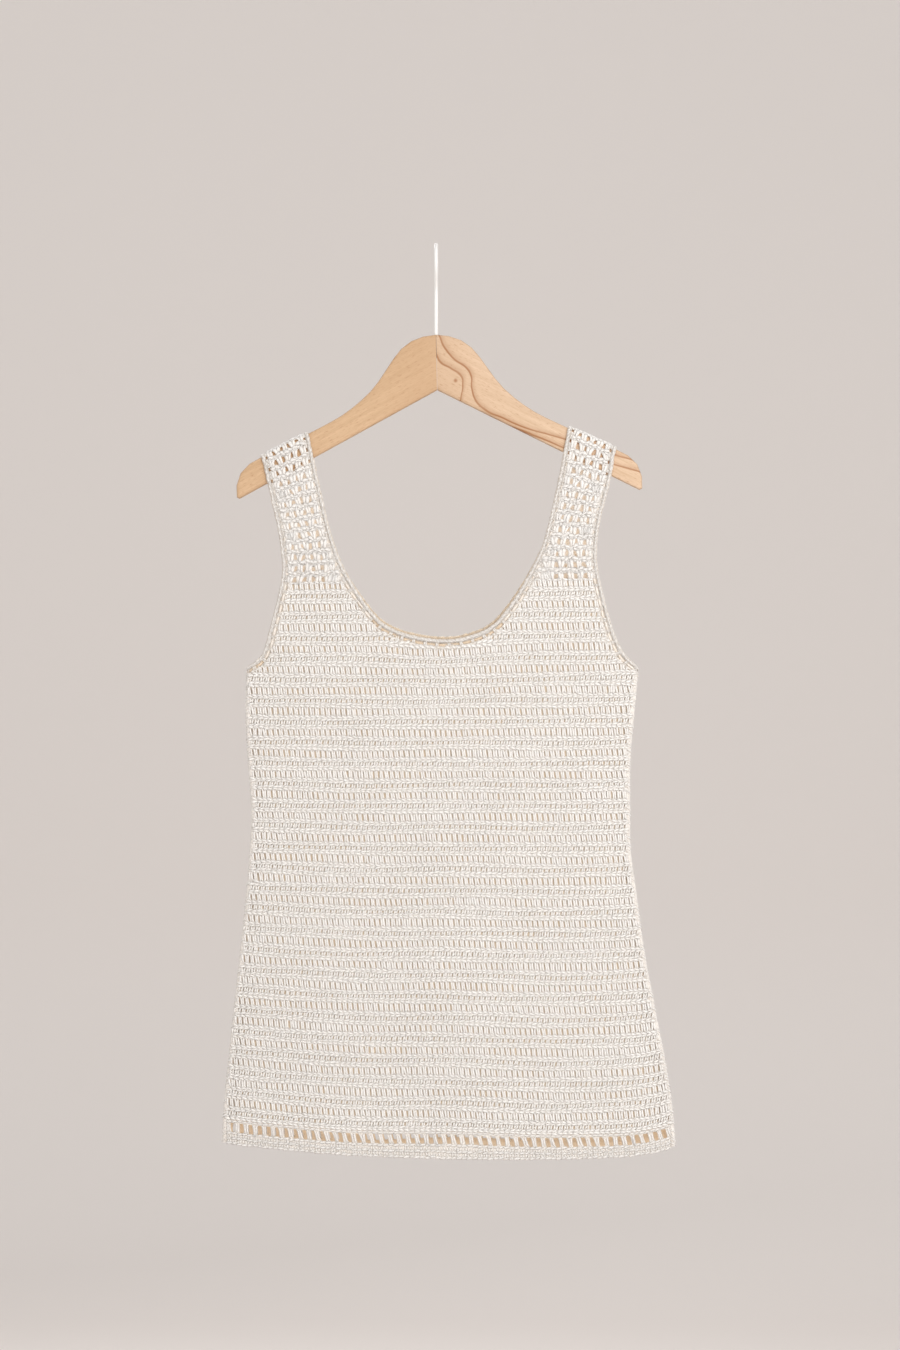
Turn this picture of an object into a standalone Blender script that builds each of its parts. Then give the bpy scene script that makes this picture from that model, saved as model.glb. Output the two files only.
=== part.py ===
"""A crochet mini dress that hangs flat on a wooden hanger with a white wire hook.

The origin is the inside top of the hook's bend, where the hook is held. +Z is up and the
front of the dress faces -Y. Sizes are millimetres here and become metres when a mesh is made.
"Drop" is a distance below the origin, and "reach" a distance from the hanger's middle.
"""

import math
from collections import namedtuple

import bmesh
import bpy
from mathutils import Matrix, Vector

MM = 0.001
FRONT = -1
BACK = 1
LEFT = -1
RIGHT = 1

# Cloth
SEAM_GAP = 0.3  # between pieces that are crocheted together
WALL = 2.6  # one layer of the cotton crochet
ROW_RAISE = 0.7  # how far the crown of a crochet row stands above the crease between rows
PANEL_ROWS = 52  # crease and crown by turns, each 11.5 mm
PANEL_COLUMNS = 10
SEAM_RADIUS = 5.8  # outer radius of the rounded side seam
SEAM_WALL = 2.8
SEAM_LIP = 2.0  # flat stretch beside each panel
SEAM_STATIONS = 18
SEAM_SIDES = 3
LENS_POWER = 0.75  # below 1 fills the body's flat section out towards its sides
EDGING_WIDTH = 6.5
EDGING_RAISE = 0.3
EDGING_STEP = 15.0
CURVE_STEP = 4.0
CURVE_PARTS = 12  # short straights between two points of a smooth line
ROW_END_PASSES = 4
CUTTER_REACH = 60.0  # how far a cutter stands clear of what it cuts

# Straps: posts run down the strap and bars cross it, with a gap in each mesh
STRAP_GAP_ROWS = 13
STRAP_GAPS = 4
STRAP_GAP_WIDTH = 4.5
STRAP_POST = 4.7
STRAP_GAP_SHARE = 0.6  # of each row's height
STRAP_WIDENING = 0.35  # share of the strap's flare that the meshes take up
STRAP_CLOSED_MESHES = ((4, 0), (8, 0))  # row and column of meshes that are pulled shut
STRAP_BASE_DROP = 365.7  # where the straps meet the panels, on the centre line
STRAP_BASE_SLOPE = -0.0135  # the right one sits a little higher

# Hem border
EYELETS = 49
EYELET_HEIGHT = 10.4
EYELET_SHARE = 0.57  # of the pitch, the rest is the post
EYELET_LEAN = 1.2
BORDER_TOP_STRIP = 3.0

# Hanger
WOOD_THICKNESS = 12.0
WOOD_ROUND = 3.0
WOOD_CROWN_DROP = 96.3
WOOD_TILT = math.radians(1.27)  # the left tip hangs lower
STRAP_NECK_REACH = 142.6  # along the hanger from its middle to the straps' neck side
STRAP_ARM_REACH = 193.9
MITRE_GAP = 0.3
WIRE_RADIUS = 2.1
HOOK_RADIUS = 20.0  # to the middle of the wire
HOOK_TIP_ANGLE = 35.0  # how far past level the open end comes down
HOOK_BOTTOM_ANGLE = 45.0
HOOK_PARTS = 20
SHANK_BEND = 15.0
SHANK_BEND_PARTS = 4
SHANK_DEPTH = 25.0  # how far the wire goes down into the wood
BORE_SIDES = 16
WOOD_STEP = 14.0
MERGE = 0.01  # points of a mesh this close are one point
SMOOTH_ANGLE = math.radians(40)  # sharper edges of the wood stay crisp

ArmPoint = namedtuple("ArmPoint", "reach fall")
ARM_TOP = (
    ArmPoint(0, 0),
    ArmPoint(20, 3.2),
    ArmPoint(36, 12.5),
    ArmPoint(47, 25),
    ArmPoint(58, 41),
    ArmPoint(69, 56),
    ArmPoint(84, 70.5),
    ArmPoint(107, 87.3),
    ArmPoint(141, 104.6),
    ArmPoint(192, 128.8),
    ArmPoint(209, 138),
    ArmPoint(217.5, 147.5),
    ArmPoint(221.8, 160),
)
ARM_BOTTOM = (ArmPoint(221.8, 173), ArmPoint(219, 174.6), ArmPoint(0, 60.5))

# The body's outline and half depths, outside the cloth
HEM_DROP = 1000
BodyRow = namedtuple("BodyRow", "drop left right middle_depth side_depth")
BODY_ROWS = (
    BodyRow(200, -208, 222, 8.9, 8.9),
    BodyRow(310, -208, 222, 8.9, 8.9),
    BodyRow(366, -208, 222, 9.6, 9.2),
    BodyRow(430, -208, 222, 12.4, 7.0),
    BodyRow(463, -208, 222, 13.4, 5.8),
    BodyRow(512, -209, 217.8, 14.2, 5.8),
    BodyRow(557, -207, 213.8, 14.6, 5.8),
    BodyRow(618, -202.8, 213.2, 15.2, 5.8),
    BodyRow(663, -204.8, 214.2, 16.2, 5.8),
    BodyRow(703, -208, 219.6, 17.4, 5.8),
    BodyRow(770, -215, 228.8, 19.6, 5.8),
    BodyRow(835, -222.2, 241, 22.0, 5.8),
    BodyRow(890, -228, 251.8, 24.2, 5.8),
    BodyRow(935, -232.6, 258.8, 25.8, 5.8),
    BodyRow(967, -234.4, 261.8, 26.6, 5.8),
    BodyRow(HEM_DROP, -235.8, 263.4, 27.2, 5.8),
)

HemRow = namedtuple("HemRow", "x front_drop back_drop band")
HEM_ROWS = (
    HemRow(-240, 979.5, 980.5, 12.5),
    HemRow(-167, 985.3, 988.3, 12.8),
    HemRow(-77, 991.9, 994.6, 13.8),
    HemRow(14, 994.1, 994.8, 16.0),
    HemRow(110, 995.0, 993.6, 12.8),
    HemRow(150, 995.2, 993.4, 12.3),
    HemRow(223, 991.9, 990.8, 11.8),
    HemRow(265, 984.5, 984.0, 13.0),
)

# The neck's open edge, from the left strap to the right one
NeckPoint = namedtuple("NeckPoint", "x front_drop back_drop")
NECK_LINE = (
    NeckPoint(-129.6, 252.3, 252.3),
    NeckPoint(-117.4, 304.9, 304.9),
    NeckPoint(-110.0, 329.0, 328.5),
    NeckPoint(-101.5, 351.3, 350.3),
    NeckPoint(-88.7, 373.5, 371.5),
    NeckPoint(-72.3, 396.5, 393.8),
    NeckPoint(-58.9, 411.0, 408.0),
    NeckPoint(-40.9, 421.0, 417.6),
    NeckPoint(-18.0, 427.2, 423.6),
    NeckPoint(5.9, 430.0, 426.4),
    NeckPoint(28.2, 428.2, 424.4),
    NeckPoint(50.6, 421.1, 417.0),
    NeckPoint(64.5, 411.8, 407.4),
    NeckPoint(76.0, 398.8, 394.4),
    NeckPoint(88.5, 381.0, 377.0),
    NeckPoint(101.2, 359.1, 356.5),
    NeckPoint(111.5, 338.0, 337.0),
    NeckPoint(119.8, 315.6, 315.6),
    NeckPoint(135.1, 249.7, 249.7),
)

# The armholes' open edges, from the strap down to the underarm
OutlinePoint = namedtuple("OutlinePoint", "x drop")
ARMHOLE_LINES = {
    LEFT: (
        OutlinePoint(-183.4, 260.9),
        OutlinePoint(-173.0, 308.5),
        OutlinePoint(-169.3, 332.9),
        OutlinePoint(-167.8, 353.6),
        OutlinePoint(-169.9, 370.0),
        OutlinePoint(-174.5, 390.0),
        OutlinePoint(-181.3, 417.0),
        OutlinePoint(-187.6, 440.0),
        OutlinePoint(-193.5, 450.2),
        OutlinePoint(-202.2, 456.8),
    ),
    RIGHT: (
        OutlinePoint(189.8, 259.1),
        OutlinePoint(182.3, 287.4),
        OutlinePoint(177.6, 310.0),
        OutlinePoint(175.7, 332.7),
        OutlinePoint(176.3, 349.7),
        OutlinePoint(180.4, 370.4),
        OutlinePoint(186.0, 393.0),
        OutlinePoint(193.6, 419.3),
        OutlinePoint(201.0, 437.2),
        OutlinePoint(208.0, 447.8),
        OutlinePoint(216.2, 455.6),
    ),
}
UNDERARM_DROPS = {LEFT: 460.3, RIGHT: 461.0}

# Soft folds of the hanging cloth, strongest at the hem; out is away from the body
Fold = namedtuple("Fold", "face x half_width out top_drop")
FOLDS = (
    Fold(FRONT, -150, 42, 2.6, 620),
    Fold(FRONT, -62, 46, -2.8, 560),
    Fold(FRONT, 48, 52, 3.0, 640),
    Fold(FRONT, 158, 40, -2.4, 700),
    Fold(BACK, -120, 50, -3.0, 600),
    Fold(BACK, 10, 48, 3.4, 580),
    Fold(BACK, 130, 50, -2.8, 660),
)

WHITE_COTTON = (0.80, 0.74, 0.65, 1.0)
EDGE_COTTON = (0.84, 0.79, 0.71, 1.0)
LIGHT_WOOD = (0.62, 0.42, 0.25, 1.0)
WHITE_COATING = (0.86, 0.85, 0.83, 1.0)


def smooth_value(rows, place, column):
    """The column's value at a place between rows, on a smooth curve through the table."""
    last = len(rows) - 1
    place = min(max(place, rows[0][0]), rows[last][0])
    i = 0
    while i < last - 1 and rows[i + 1][0] < place:
        i += 1
    values = [getattr(row, column) for row in rows]

    def slope(k):
        before = max(k - 1, 0)
        after = min(k + 1, last)
        return (values[after] - values[before]) / (rows[after][0] - rows[before][0])

    span = rows[i + 1][0] - rows[i][0]
    t = (place - rows[i][0]) / span
    rise = values[i + 1] - values[i]
    start = slope(i) * span
    end = slope(i + 1) * span
    return values[i] + t * (start + t * (3 * rise - 2 * start - end + t * (start + end - 2 * rise)))


def smooth_line(points, step):
    """Evenly spaced points along a Catmull-Rom curve through the given ones."""
    padded = [2 * points[0] - points[1], *points, 2 * points[-1] - points[-2]]
    dense = []
    for i in range(1, len(padded) - 2):
        a, b, c, d = padded[i - 1 : i + 3]
        for k in range(CURVE_PARTS):
            t = k / CURVE_PARTS
            bend = 2 * a - 5 * b + 4 * c - d
            dense.append(0.5 * (2 * b + t * (c - a + t * (bend + t * (3 * b - a - 3 * c + d)))))
    dense.append(points[-1])
    length = line_length(dense)
    count = max(round(length / step), 1)
    return [point_along(dense, length * k / count) for k in range(count + 1)]


def line_length(points):
    return sum((b - a).length for a, b in zip(points, points[1:]))


def point_along(points, distance):
    for a, b in zip(points, points[1:]):
        piece = (b - a).length
        if distance <= piece:
            return a.lerp(b, distance / piece)
        distance -= piece
    return points[-1].copy()


def offset_line(points, distance):
    """The points moved sideways, to the left of the line's direction when positive."""
    moved = []
    for i, point in enumerate(points):
        along = points[min(i + 1, len(points) - 1)] - points[max(i - 1, 0)]
        sideways = Vector((-along.y, along.x)).normalized()
        moved.append(point + distance * sideways)
    return moved


def hanger_point(reach, fall, side):
    """A point of the tilted hanger's front view, as (x, z)."""
    x = side * reach
    z = -fall
    turned_x = x * math.cos(WOOD_TILT) - z * math.sin(WOOD_TILT)
    turned_z = x * math.sin(WOOD_TILT) + z * math.cos(WOOD_TILT)
    return Vector((turned_x, turned_z - WOOD_CROWN_DROP))


def wood_top(reach, side):
    return hanger_point(reach, smooth_value(ARM_TOP, reach, "fall"), side)


def along_wood(side):
    """Unit direction of the arm's top edge under a strap, away from the middle."""
    return (wood_top(STRAP_ARM_REACH, side) - wood_top(STRAP_NECK_REACH, side)).normalized()


def above_wood(side):
    direction = along_wood(side)
    return Vector((-direction.y, direction.x)) * side


def fold_out(face, x, drop):
    """How far the folds push the cloth out at a place."""
    out = 0.0
    for fold in FOLDS:
        if fold.face == face and drop > fold.top_drop:
            growth = (drop - fold.top_drop) / (HEM_DROP - fold.top_drop)
            growth = growth * growth * (3 - 2 * growth)
            out += fold.out * growth * math.exp(-(((x - fold.x) / fold.half_width) ** 2))
    return out


def side_edge(side, drop):
    return smooth_value(BODY_ROWS, drop, "left" if side == LEFT else "right")


def cloth_point(face, x, z, raise_by=0.0):
    """The point of the cloth's outer surface seen at x, z."""
    drop = -z
    left = side_edge(LEFT, drop) + SEAM_RADIUS
    right = side_edge(RIGHT, drop) - SEAM_RADIUS
    across = (2 * x - left - right) / (right - left)
    fill = max(1 - across * across, 0.0) ** LENS_POWER
    side_depth = smooth_value(BODY_ROWS, drop, "side_depth")
    middle_depth = smooth_value(BODY_ROWS, drop, "middle_depth")
    depth = side_depth + (middle_depth - side_depth + fold_out(face, x, drop)) * fill
    return Vector((x, face * (depth + raise_by), z))


def strap_base(x):
    return -STRAP_BASE_DROP - STRAP_BASE_SLOPE * x


def hem_height(face, x):
    return -smooth_value(HEM_ROWS, x, "front_drop" if face == FRONT else "back_drop")


def border_heights(face, x):
    """Heights of the border's top, the eyelets' top and bottom, and the hem."""
    hem = hem_height(face, x)
    eyelet_foot = hem + smooth_value(HEM_ROWS, x, "band")
    eyelet_head = eyelet_foot + EYELET_HEIGHT
    return eyelet_head + BORDER_TOP_STRIP, eyelet_head, eyelet_foot, hem


def strap_top(reach, side):
    """Where an edge leaves the arm's rounded top and starts down its flat face."""
    return wood_top(reach, side) - WOOD_ROUND * above_wood(side)


def neck_edge(face):
    """The neck's open edge on one face, left shoulder to right, as (x, z) points."""
    column = "front_drop" if face == FRONT else "back_drop"
    points = [Vector((p.x, -getattr(p, column))) for p in NECK_LINE]
    points.insert(0, strap_top(STRAP_NECK_REACH, LEFT))
    points.append(strap_top(STRAP_NECK_REACH, RIGHT))
    return smooth_line(points, CURVE_STEP)


def armhole_edge(side):
    """The armhole's open edge on either face, shoulder to underarm, as (x, z) points."""
    points = [Vector((p.x, -p.drop)) for p in ARMHOLE_LINES[side]]
    points.insert(0, strap_top(STRAP_ARM_REACH, side))
    return smooth_line(points, CURVE_STEP)


def inner_neck(face, distance):
    """The neck edge moved into the cloth."""
    edge = neck_edge(face)
    moved = offset_line(edge, -distance)
    moved[0] = edge[0] + distance * along_wood(LEFT)
    moved[-1] = edge[-1] + distance * along_wood(RIGHT)
    return moved


def inner_armhole(side, distance):
    """The armhole edge moved into the cloth, straight down at the underarm."""
    edge = armhole_edge(side)
    moved = offset_line(edge, -side * distance)
    moved[0] = edge[0] - distance * along_wood(side)
    moved[-1] = edge[-1] - Vector((0, distance))
    return moved


def over_wood(face, point, side, raise_by):
    """Points that carry an edge from the strap seam on top of the arm to its flat face."""
    reach = WOOD_ROUND + SEAM_GAP + WALL + raise_by
    flat = WOOD_THICKNESS / 2 - WOOD_ROUND
    steps = ((SEAM_GAP / 2, reach), (flat, reach))
    steps += ((flat + reach * math.sin(math.pi / 4), reach * math.cos(math.pi / 4)),)
    lifted = []
    for depth, height in steps:
        flat_point = point + height * above_wood(side)
        lifted.append(Vector((flat_point.x, face * depth, flat_point.y)))
    return lifted


def cut_at_base(line):
    """The part of an edge line above the strap's base, ending on it."""
    kept = []
    for a, b in zip(line, line[1:]):
        kept.append(a)
        over_a = a.y - strap_base(a.x) - SEAM_GAP / 2
        over_b = b.y - strap_base(b.x) - SEAM_GAP / 2
        if over_b <= 0:
            kept.append(a.lerp(b, over_a / (over_a - over_b)))
            return kept
    raise ValueError("the edge never reaches the strap's base")


def new_material(name, color, roughness):
    material = bpy.data.materials.new(name)
    material.use_nodes = True
    shader = material.node_tree.nodes["Principled BSDF"]
    shader.inputs["Base Color"].default_value = color
    shader.inputs["Roughness"].default_value = roughness
    return material


def add_object(name, data, material, collection):
    obj = bpy.data.objects.new(name, data)
    collection.objects.link(obj)
    data.materials.append(material)
    return obj


def grid_object(name, rows, material, collection, skipped=(), ring=False):
    """An open sheet through rows of points, with the skipped (row, column) cells left out."""
    mesh = bpy.data.meshes.new(name)
    sheet = bmesh.new()
    grid = [[sheet.verts.new(point * MM) for point in row] for row in rows]
    if ring:
        grid.append(grid[0])
    for r in range(len(grid) - 1):
        for c in range(len(grid[r]) - 1):
            if (r, c) not in skipped:
                corners = (grid[r][c], grid[r + 1][c], grid[r + 1][c + 1], grid[r][c + 1])
                sheet.faces.new(corners)
    loose = [vert for vert in sheet.verts if not vert.link_faces]
    bmesh.ops.delete(sheet, geom=loose, context="VERTS")
    sheet.to_mesh(mesh)
    sheet.free()
    mesh.shade_smooth()
    return add_object(name, mesh, material, collection)


def add_wall(obj, thickness):
    """The sheet is the outer surface, and the wall grows inwards from it."""
    wall = obj.modifiers.new("wall", "SOLIDIFY")
    wall.thickness = thickness * MM
    wall.offset = -1.0
    wall.use_even_offset = True


def add_ribbed_wall(obj, crowns):
    """A wall whose raised outer points, the crowns of the crochet rows, leave its inside plain."""
    add_wall(obj, WALL + ROW_RAISE)
    group = obj.vertex_groups.new(name="row_crowns")
    group.add(crowns, 1.0, "REPLACE")
    wall = obj.modifiers["wall"]
    wall.vertex_group = group.name
    wall.thickness_vertex_group = WALL / (WALL + ROW_RAISE)


def add_cutter(name, shape, collection):
    """A hidden object from a finished bmesh, for a Boolean to cut with."""
    mesh = bpy.data.meshes.new(name)
    shape.to_mesh(mesh)
    shape.free()
    cutter = bpy.data.objects.new(name, mesh)
    collection.objects.link(cutter)
    cutter.hide_render = True
    cutter.display_type = "WIRE"
    return cutter


def outline_cutter(name, outline, collection):
    """A closed (x, z) outline made into a prism along Y that cuts both faces' walls."""
    prism = bmesh.new()
    near = [Vector((p.x, -CUTTER_REACH, p.y)) * MM for p in outline]
    face = prism.faces.new([prism.verts.new(corner) for corner in near])
    extruded = bmesh.ops.extrude_face_region(prism, geom=[face])
    moved = [item for item in extruded["geom"] if isinstance(item, bmesh.types.BMVert)]
    bmesh.ops.translate(prism, verts=moved, vec=Vector((0, 2 * CUTTER_REACH, 0)) * MM)
    bmesh.ops.recalc_face_normals(prism, faces=prism.faces)
    return add_cutter(name, prism, collection)


def bore_cutter(name, collection):
    """A rod that drills the wire's seat down through the crown, half of it in each arm."""
    radius = (WIRE_RADIUS + SEAM_GAP) / math.cos(math.pi / BORE_SIDES)
    bottom = WOOD_CROWN_DROP + SHANK_DEPTH + SEAM_GAP
    top = WOOD_CROWN_DROP - WOOD_ROUND
    middle = Matrix.Translation((0, 0, -(top + bottom) / 2 * MM))
    rod = bmesh.new()
    bmesh.ops.create_cone(
        rod,
        cap_ends=True,
        segments=BORE_SIDES,
        radius1=radius * MM,
        radius2=radius * MM,
        depth=(bottom - top) * MM,
        matrix=middle,
    )
    return add_cutter(name, rod, collection)


def cut_with(obj, cutter):
    cut = obj.modifiers.new("cut " + cutter.name, "BOOLEAN")
    cut.operation = "DIFFERENCE"
    cut.solver = "EXACT"
    cut.object = cutter


def row_end(side, row_height):
    """Where a row stops beside the side seam, found in passes because its height changes with x."""
    x = side_edge(side, HEM_DROP)
    for _ in range(ROW_END_PASSES):
        x = side_edge(side, -row_height(x)) - side * (SEAM_RADIUS + SEAM_GAP)
    return x


def panel_rows(face):
    """Points of the panel's outside, row by row from the strap bases to the border."""
    rows = []
    for r in range(PANEL_ROWS + 1):
        share = r / PANEL_ROWS

        def row_height(x):
            top = strap_base(x) - SEAM_GAP / 2
            bottom = border_heights(face, x)[0] + SEAM_GAP
            return top + (bottom - top) * share

        left = row_end(LEFT, row_height)
        right = row_end(RIGHT, row_height)
        points = []
        for c in range(PANEL_COLUMNS + 1):
            angle = math.pi * (c / PANEL_COLUMNS - 0.5)
            x = (left + right) / 2 + (right - left) / 2 * math.sin(angle)
            points.append(cloth_point(face, x, row_height(x), ROW_RAISE * (r % 2)))
        rows.append(points if face == FRONT else points[::-1])
    return rows


def build_panel(face, name, material, collection, cutters):
    rows = panel_rows(face)
    panel = grid_object(name, rows, material, collection)
    width = PANEL_COLUMNS + 1
    crowns = [r * width + c for r in range(1, PANEL_ROWS, 2) for c in range(width)]
    add_ribbed_wall(panel, crowns)
    for cutter in cutters:
        cut_with(panel, cutter)
    return panel


def neck_cutter(face, name, collection):
    outline = inner_neck(face, EDGING_WIDTH + SEAM_GAP)
    lift = Vector((0, CUTTER_REACH))
    return outline_cutter(name, [outline[0] + lift, *outline, outline[-1] + lift], collection)


def armhole_cutter(side, name, collection):
    outline = inner_armhole(side, EDGING_WIDTH + SEAM_GAP)
    far = Vector((side * CUTTER_REACH, 0))
    outline.append(outline[-1] + far)
    outline.append(outline[0] + 2 * far)
    return outline_cutter(name, outline, collection)


def panel_foot(face, x):
    """Height of the panel's lower edge, which is straight from column to column."""
    foot = panel_rows(face)[-1]
    if face == BACK:
        foot = foot[::-1]
    for a, b in zip(foot, foot[1:]):
        if x <= b.x:
            break
    return a.z + (b.z - a.z) * (x - a.x) / (b.x - a.x)


def build_border(face, name, material, collection):
    """The hem border: a strip, a row of open eyelets between leaning posts, and a band."""
    columns = 2 * EYELETS + 1
    leans = (EYELET_LEAN / 2, EYELET_LEAN / 2, -EYELET_LEAN / 2, -EYELET_LEAN / 2)
    rows = []
    for r, lean in enumerate(leans):

        def row_height(x):
            return border_heights(face, x)[r] if r else panel_foot(face, x) - SEAM_GAP

        left = row_end(LEFT, row_height)
        right = row_end(RIGHT, row_height)
        pitch = (right - left) / (EYELETS + 1 - EYELET_SHARE)
        points = []
        for c in range(columns + 1):
            x = left + pitch * (c // 2)
            if c % 2:
                x += pitch * (1 - EYELET_SHARE)
            if 0 < c < columns:
                x -= lean
            points.append(cloth_point(face, x, row_height(x)))
        rows.append(points if face == FRONT else points[::-1])
    skipped = {(1, c) for c in range(1, columns, 2)}
    border = grid_object(name, rows, material, collection, skipped)
    add_wall(border, WALL)
    return border


def build_side_seam(side, name, material, collection):
    """The seam between front and back, underarm to hem: a flat lip on each face and a round side."""
    middle_top = UNDERARM_DROPS[side] + EDGING_WIDTH + SEAM_GAP
    corner_top = ARMHOLE_LINES[side][-1].drop + EDGING_WIDTH + SEAM_GAP
    corner = side_edge(side, HEM_DROP)
    bottom = -max(hem_height(FRONT, corner), hem_height(BACK, corner))
    angles = [math.pi * (c / SEAM_SIDES - 0.5) for c in range(SEAM_SIDES + 1)]
    roundness = (SEAM_RADIUS - SEAM_LIP) / max(math.cos(angle) for angle in angles)
    section = [(0.0, -SEAM_RADIUS)]
    section += [(SEAM_LIP + roundness * math.cos(a), SEAM_RADIUS * math.sin(a)) for a in angles]
    section.append((0.0, SEAM_RADIUS))
    rows = []
    for r in range(SEAM_STATIONS + 1):
        points = []
        for out, y in section:
            top = corner_top + (middle_top - corner_top) * out / SEAM_RADIUS
            drop = top + (bottom - top) * r / SEAM_STATIONS
            x = side_edge(side, drop) - side * (SEAM_RADIUS - out)
            points.append(Vector((x, y, -drop)))
        rows.append(points if side == RIGHT else points[::-1])
    seam = grid_object(name, rows, material, collection)
    add_wall(seam, SEAM_WALL)
    return seam


def strap_columns(width):
    """Distances across the strap from its armhole side, post and gap by turns."""
    nominal = STRAP_GAPS * STRAP_GAP_WIDTH + (STRAP_GAPS + 1) * STRAP_POST
    scale = 1 + STRAP_WIDENING * max(width / nominal - 1, 0.0)
    places = [0.0]
    for _ in range(STRAP_GAPS):
        places.append(places[-1] + STRAP_POST * scale)
        places.append(places[-1] + STRAP_GAP_WIDTH * scale)
    places.append(width)
    return places


def build_strap(face, side, name, material, collection):
    """Openwork mesh from the seam on top of the arm down to the panel."""
    inset = EDGING_WIDTH + SEAM_GAP
    neck = inner_neck(face, inset)
    if side == RIGHT:
        neck = neck[::-1]
    neck = cut_at_base(neck)
    arm = cut_at_base(inner_armhole(side, inset))
    arm_over = over_wood(face, arm[0], side, 0.0)
    neck_over = over_wood(face, neck[0], side, 0.0)
    stations = list(zip(arm_over, neck_over))
    rows_over = len(stations)
    shares = [0.0]
    for r in range(STRAP_GAP_ROWS):
        shares.append((r + STRAP_GAP_SHARE) / STRAP_GAP_ROWS)
        shares.append((r + 1) / STRAP_GAP_ROWS)
    shares = [1 - share for share in reversed(shares)]
    for share in shares:
        arm_flat = point_along(arm, share * line_length(arm))
        neck_flat = point_along(neck, share * line_length(neck))
        stations.append((arm_flat, neck_flat))
    rows = []
    for arm_point, neck_point in stations:
        width = (neck_point - arm_point).length
        points = []
        for place in strap_columns(width):
            point = arm_point.lerp(neck_point, place / width)
            if len(point) == 2:
                point = cloth_point(face, point.x, point.y)
            points.append(point)
        rows.append(points if face * side == 1 else points[::-1])
    skipped = set()
    for r in range(STRAP_GAP_ROWS):
        for c in range(STRAP_GAPS):
            if (r, c) not in STRAP_CLOSED_MESHES:
                column = 2 * c + 1 if face * side == 1 else 2 * (STRAP_GAPS - c) - 1
                skipped.add((rows_over + 2 * r + 1, column))
    strap = grid_object(name, rows, material, collection, skipped)
    add_wall(strap, WALL)
    return strap


def edging_stations(edge, inner, face):
    """Pairs of outer and inner edge points on one face, thinned out to the edging's step."""
    count = max(round(line_length(edge) / EDGING_STEP), 2)
    pairs = []
    for k in range(count + 1):
        i = round(k * (len(edge) - 1) / count)
        outer_point = cloth_point(face, edge[i].x, edge[i].y, EDGING_RAISE)
        inner_point = cloth_point(face, inner[i].x, inner[i].y, EDGING_RAISE)
        pairs.append((outer_point, inner_point))
    return pairs


def shoulder_pairs(edge_point, inner_point, side, from_face):
    """The edging's pairs over the arm, from one face to the other."""
    near_outer = over_wood(from_face, edge_point, side, EDGING_RAISE)
    near_inner = over_wood(from_face, inner_point, side, EDGING_RAISE)
    far_outer = over_wood(-from_face, edge_point, side, EDGING_RAISE)
    far_inner = over_wood(-from_face, inner_point, side, EDGING_RAISE)
    near = list(zip(near_outer, near_inner))[:0:-1]
    return near + list(zip(far_outer, far_inner))[1:]


def build_neck_edging(name, material, collection):
    front = neck_edge(FRONT)
    front_inner = inner_neck(FRONT, EDGING_WIDTH)
    back = neck_edge(BACK)[::-1]
    back_inner = inner_neck(BACK, EDGING_WIDTH)[::-1]
    ring = edging_stations(front, front_inner, FRONT)
    ring += shoulder_pairs(front[-1], front_inner[-1], RIGHT, FRONT)
    ring += edging_stations(back, back_inner, BACK)
    ring += shoulder_pairs(back[-1], back_inner[-1], LEFT, BACK)
    rows = [(inner, outer) for outer, inner in ring]
    edging = grid_object(name, rows, material, collection, ring=True)
    add_wall(edging, WALL + EDGING_RAISE)
    return edging


def build_armhole_edging(side, name, material, collection):
    edge = armhole_edge(side)
    inner = inner_armhole(side, EDGING_WIDTH)
    drop = UNDERARM_DROPS[side]
    tip = Vector((side_edge(side, drop) + side * EDGING_RAISE, 0, -drop))
    foot = Vector((tip.x, 0, -drop - EDGING_WIDTH))
    ring = edging_stations(edge[::-1], inner[::-1], FRONT)
    ring += shoulder_pairs(edge[0], inner[0], side, FRONT)
    ring += edging_stations(edge, inner, BACK)
    ring.append((tip, foot))
    rows = [(inner, outer) if side == RIGHT else (outer, inner) for outer, inner in ring]
    edging = grid_object(name, rows, material, collection, ring=True)
    add_wall(edging, WALL + EDGING_RAISE)
    return edging


def arm_outline():
    """The whole hanger blank in its own frame: along the top, round a tip, and back below."""
    top = smooth_line([Vector((p.reach, -p.fall)) for p in ARM_TOP], WOOD_STEP)
    right = top + [Vector((p.reach, -p.fall)) for p in ARM_BOTTOM]
    left = [Vector((-p.x, p.y)) for p in reversed(right[1:-1])]
    return right + left


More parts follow.
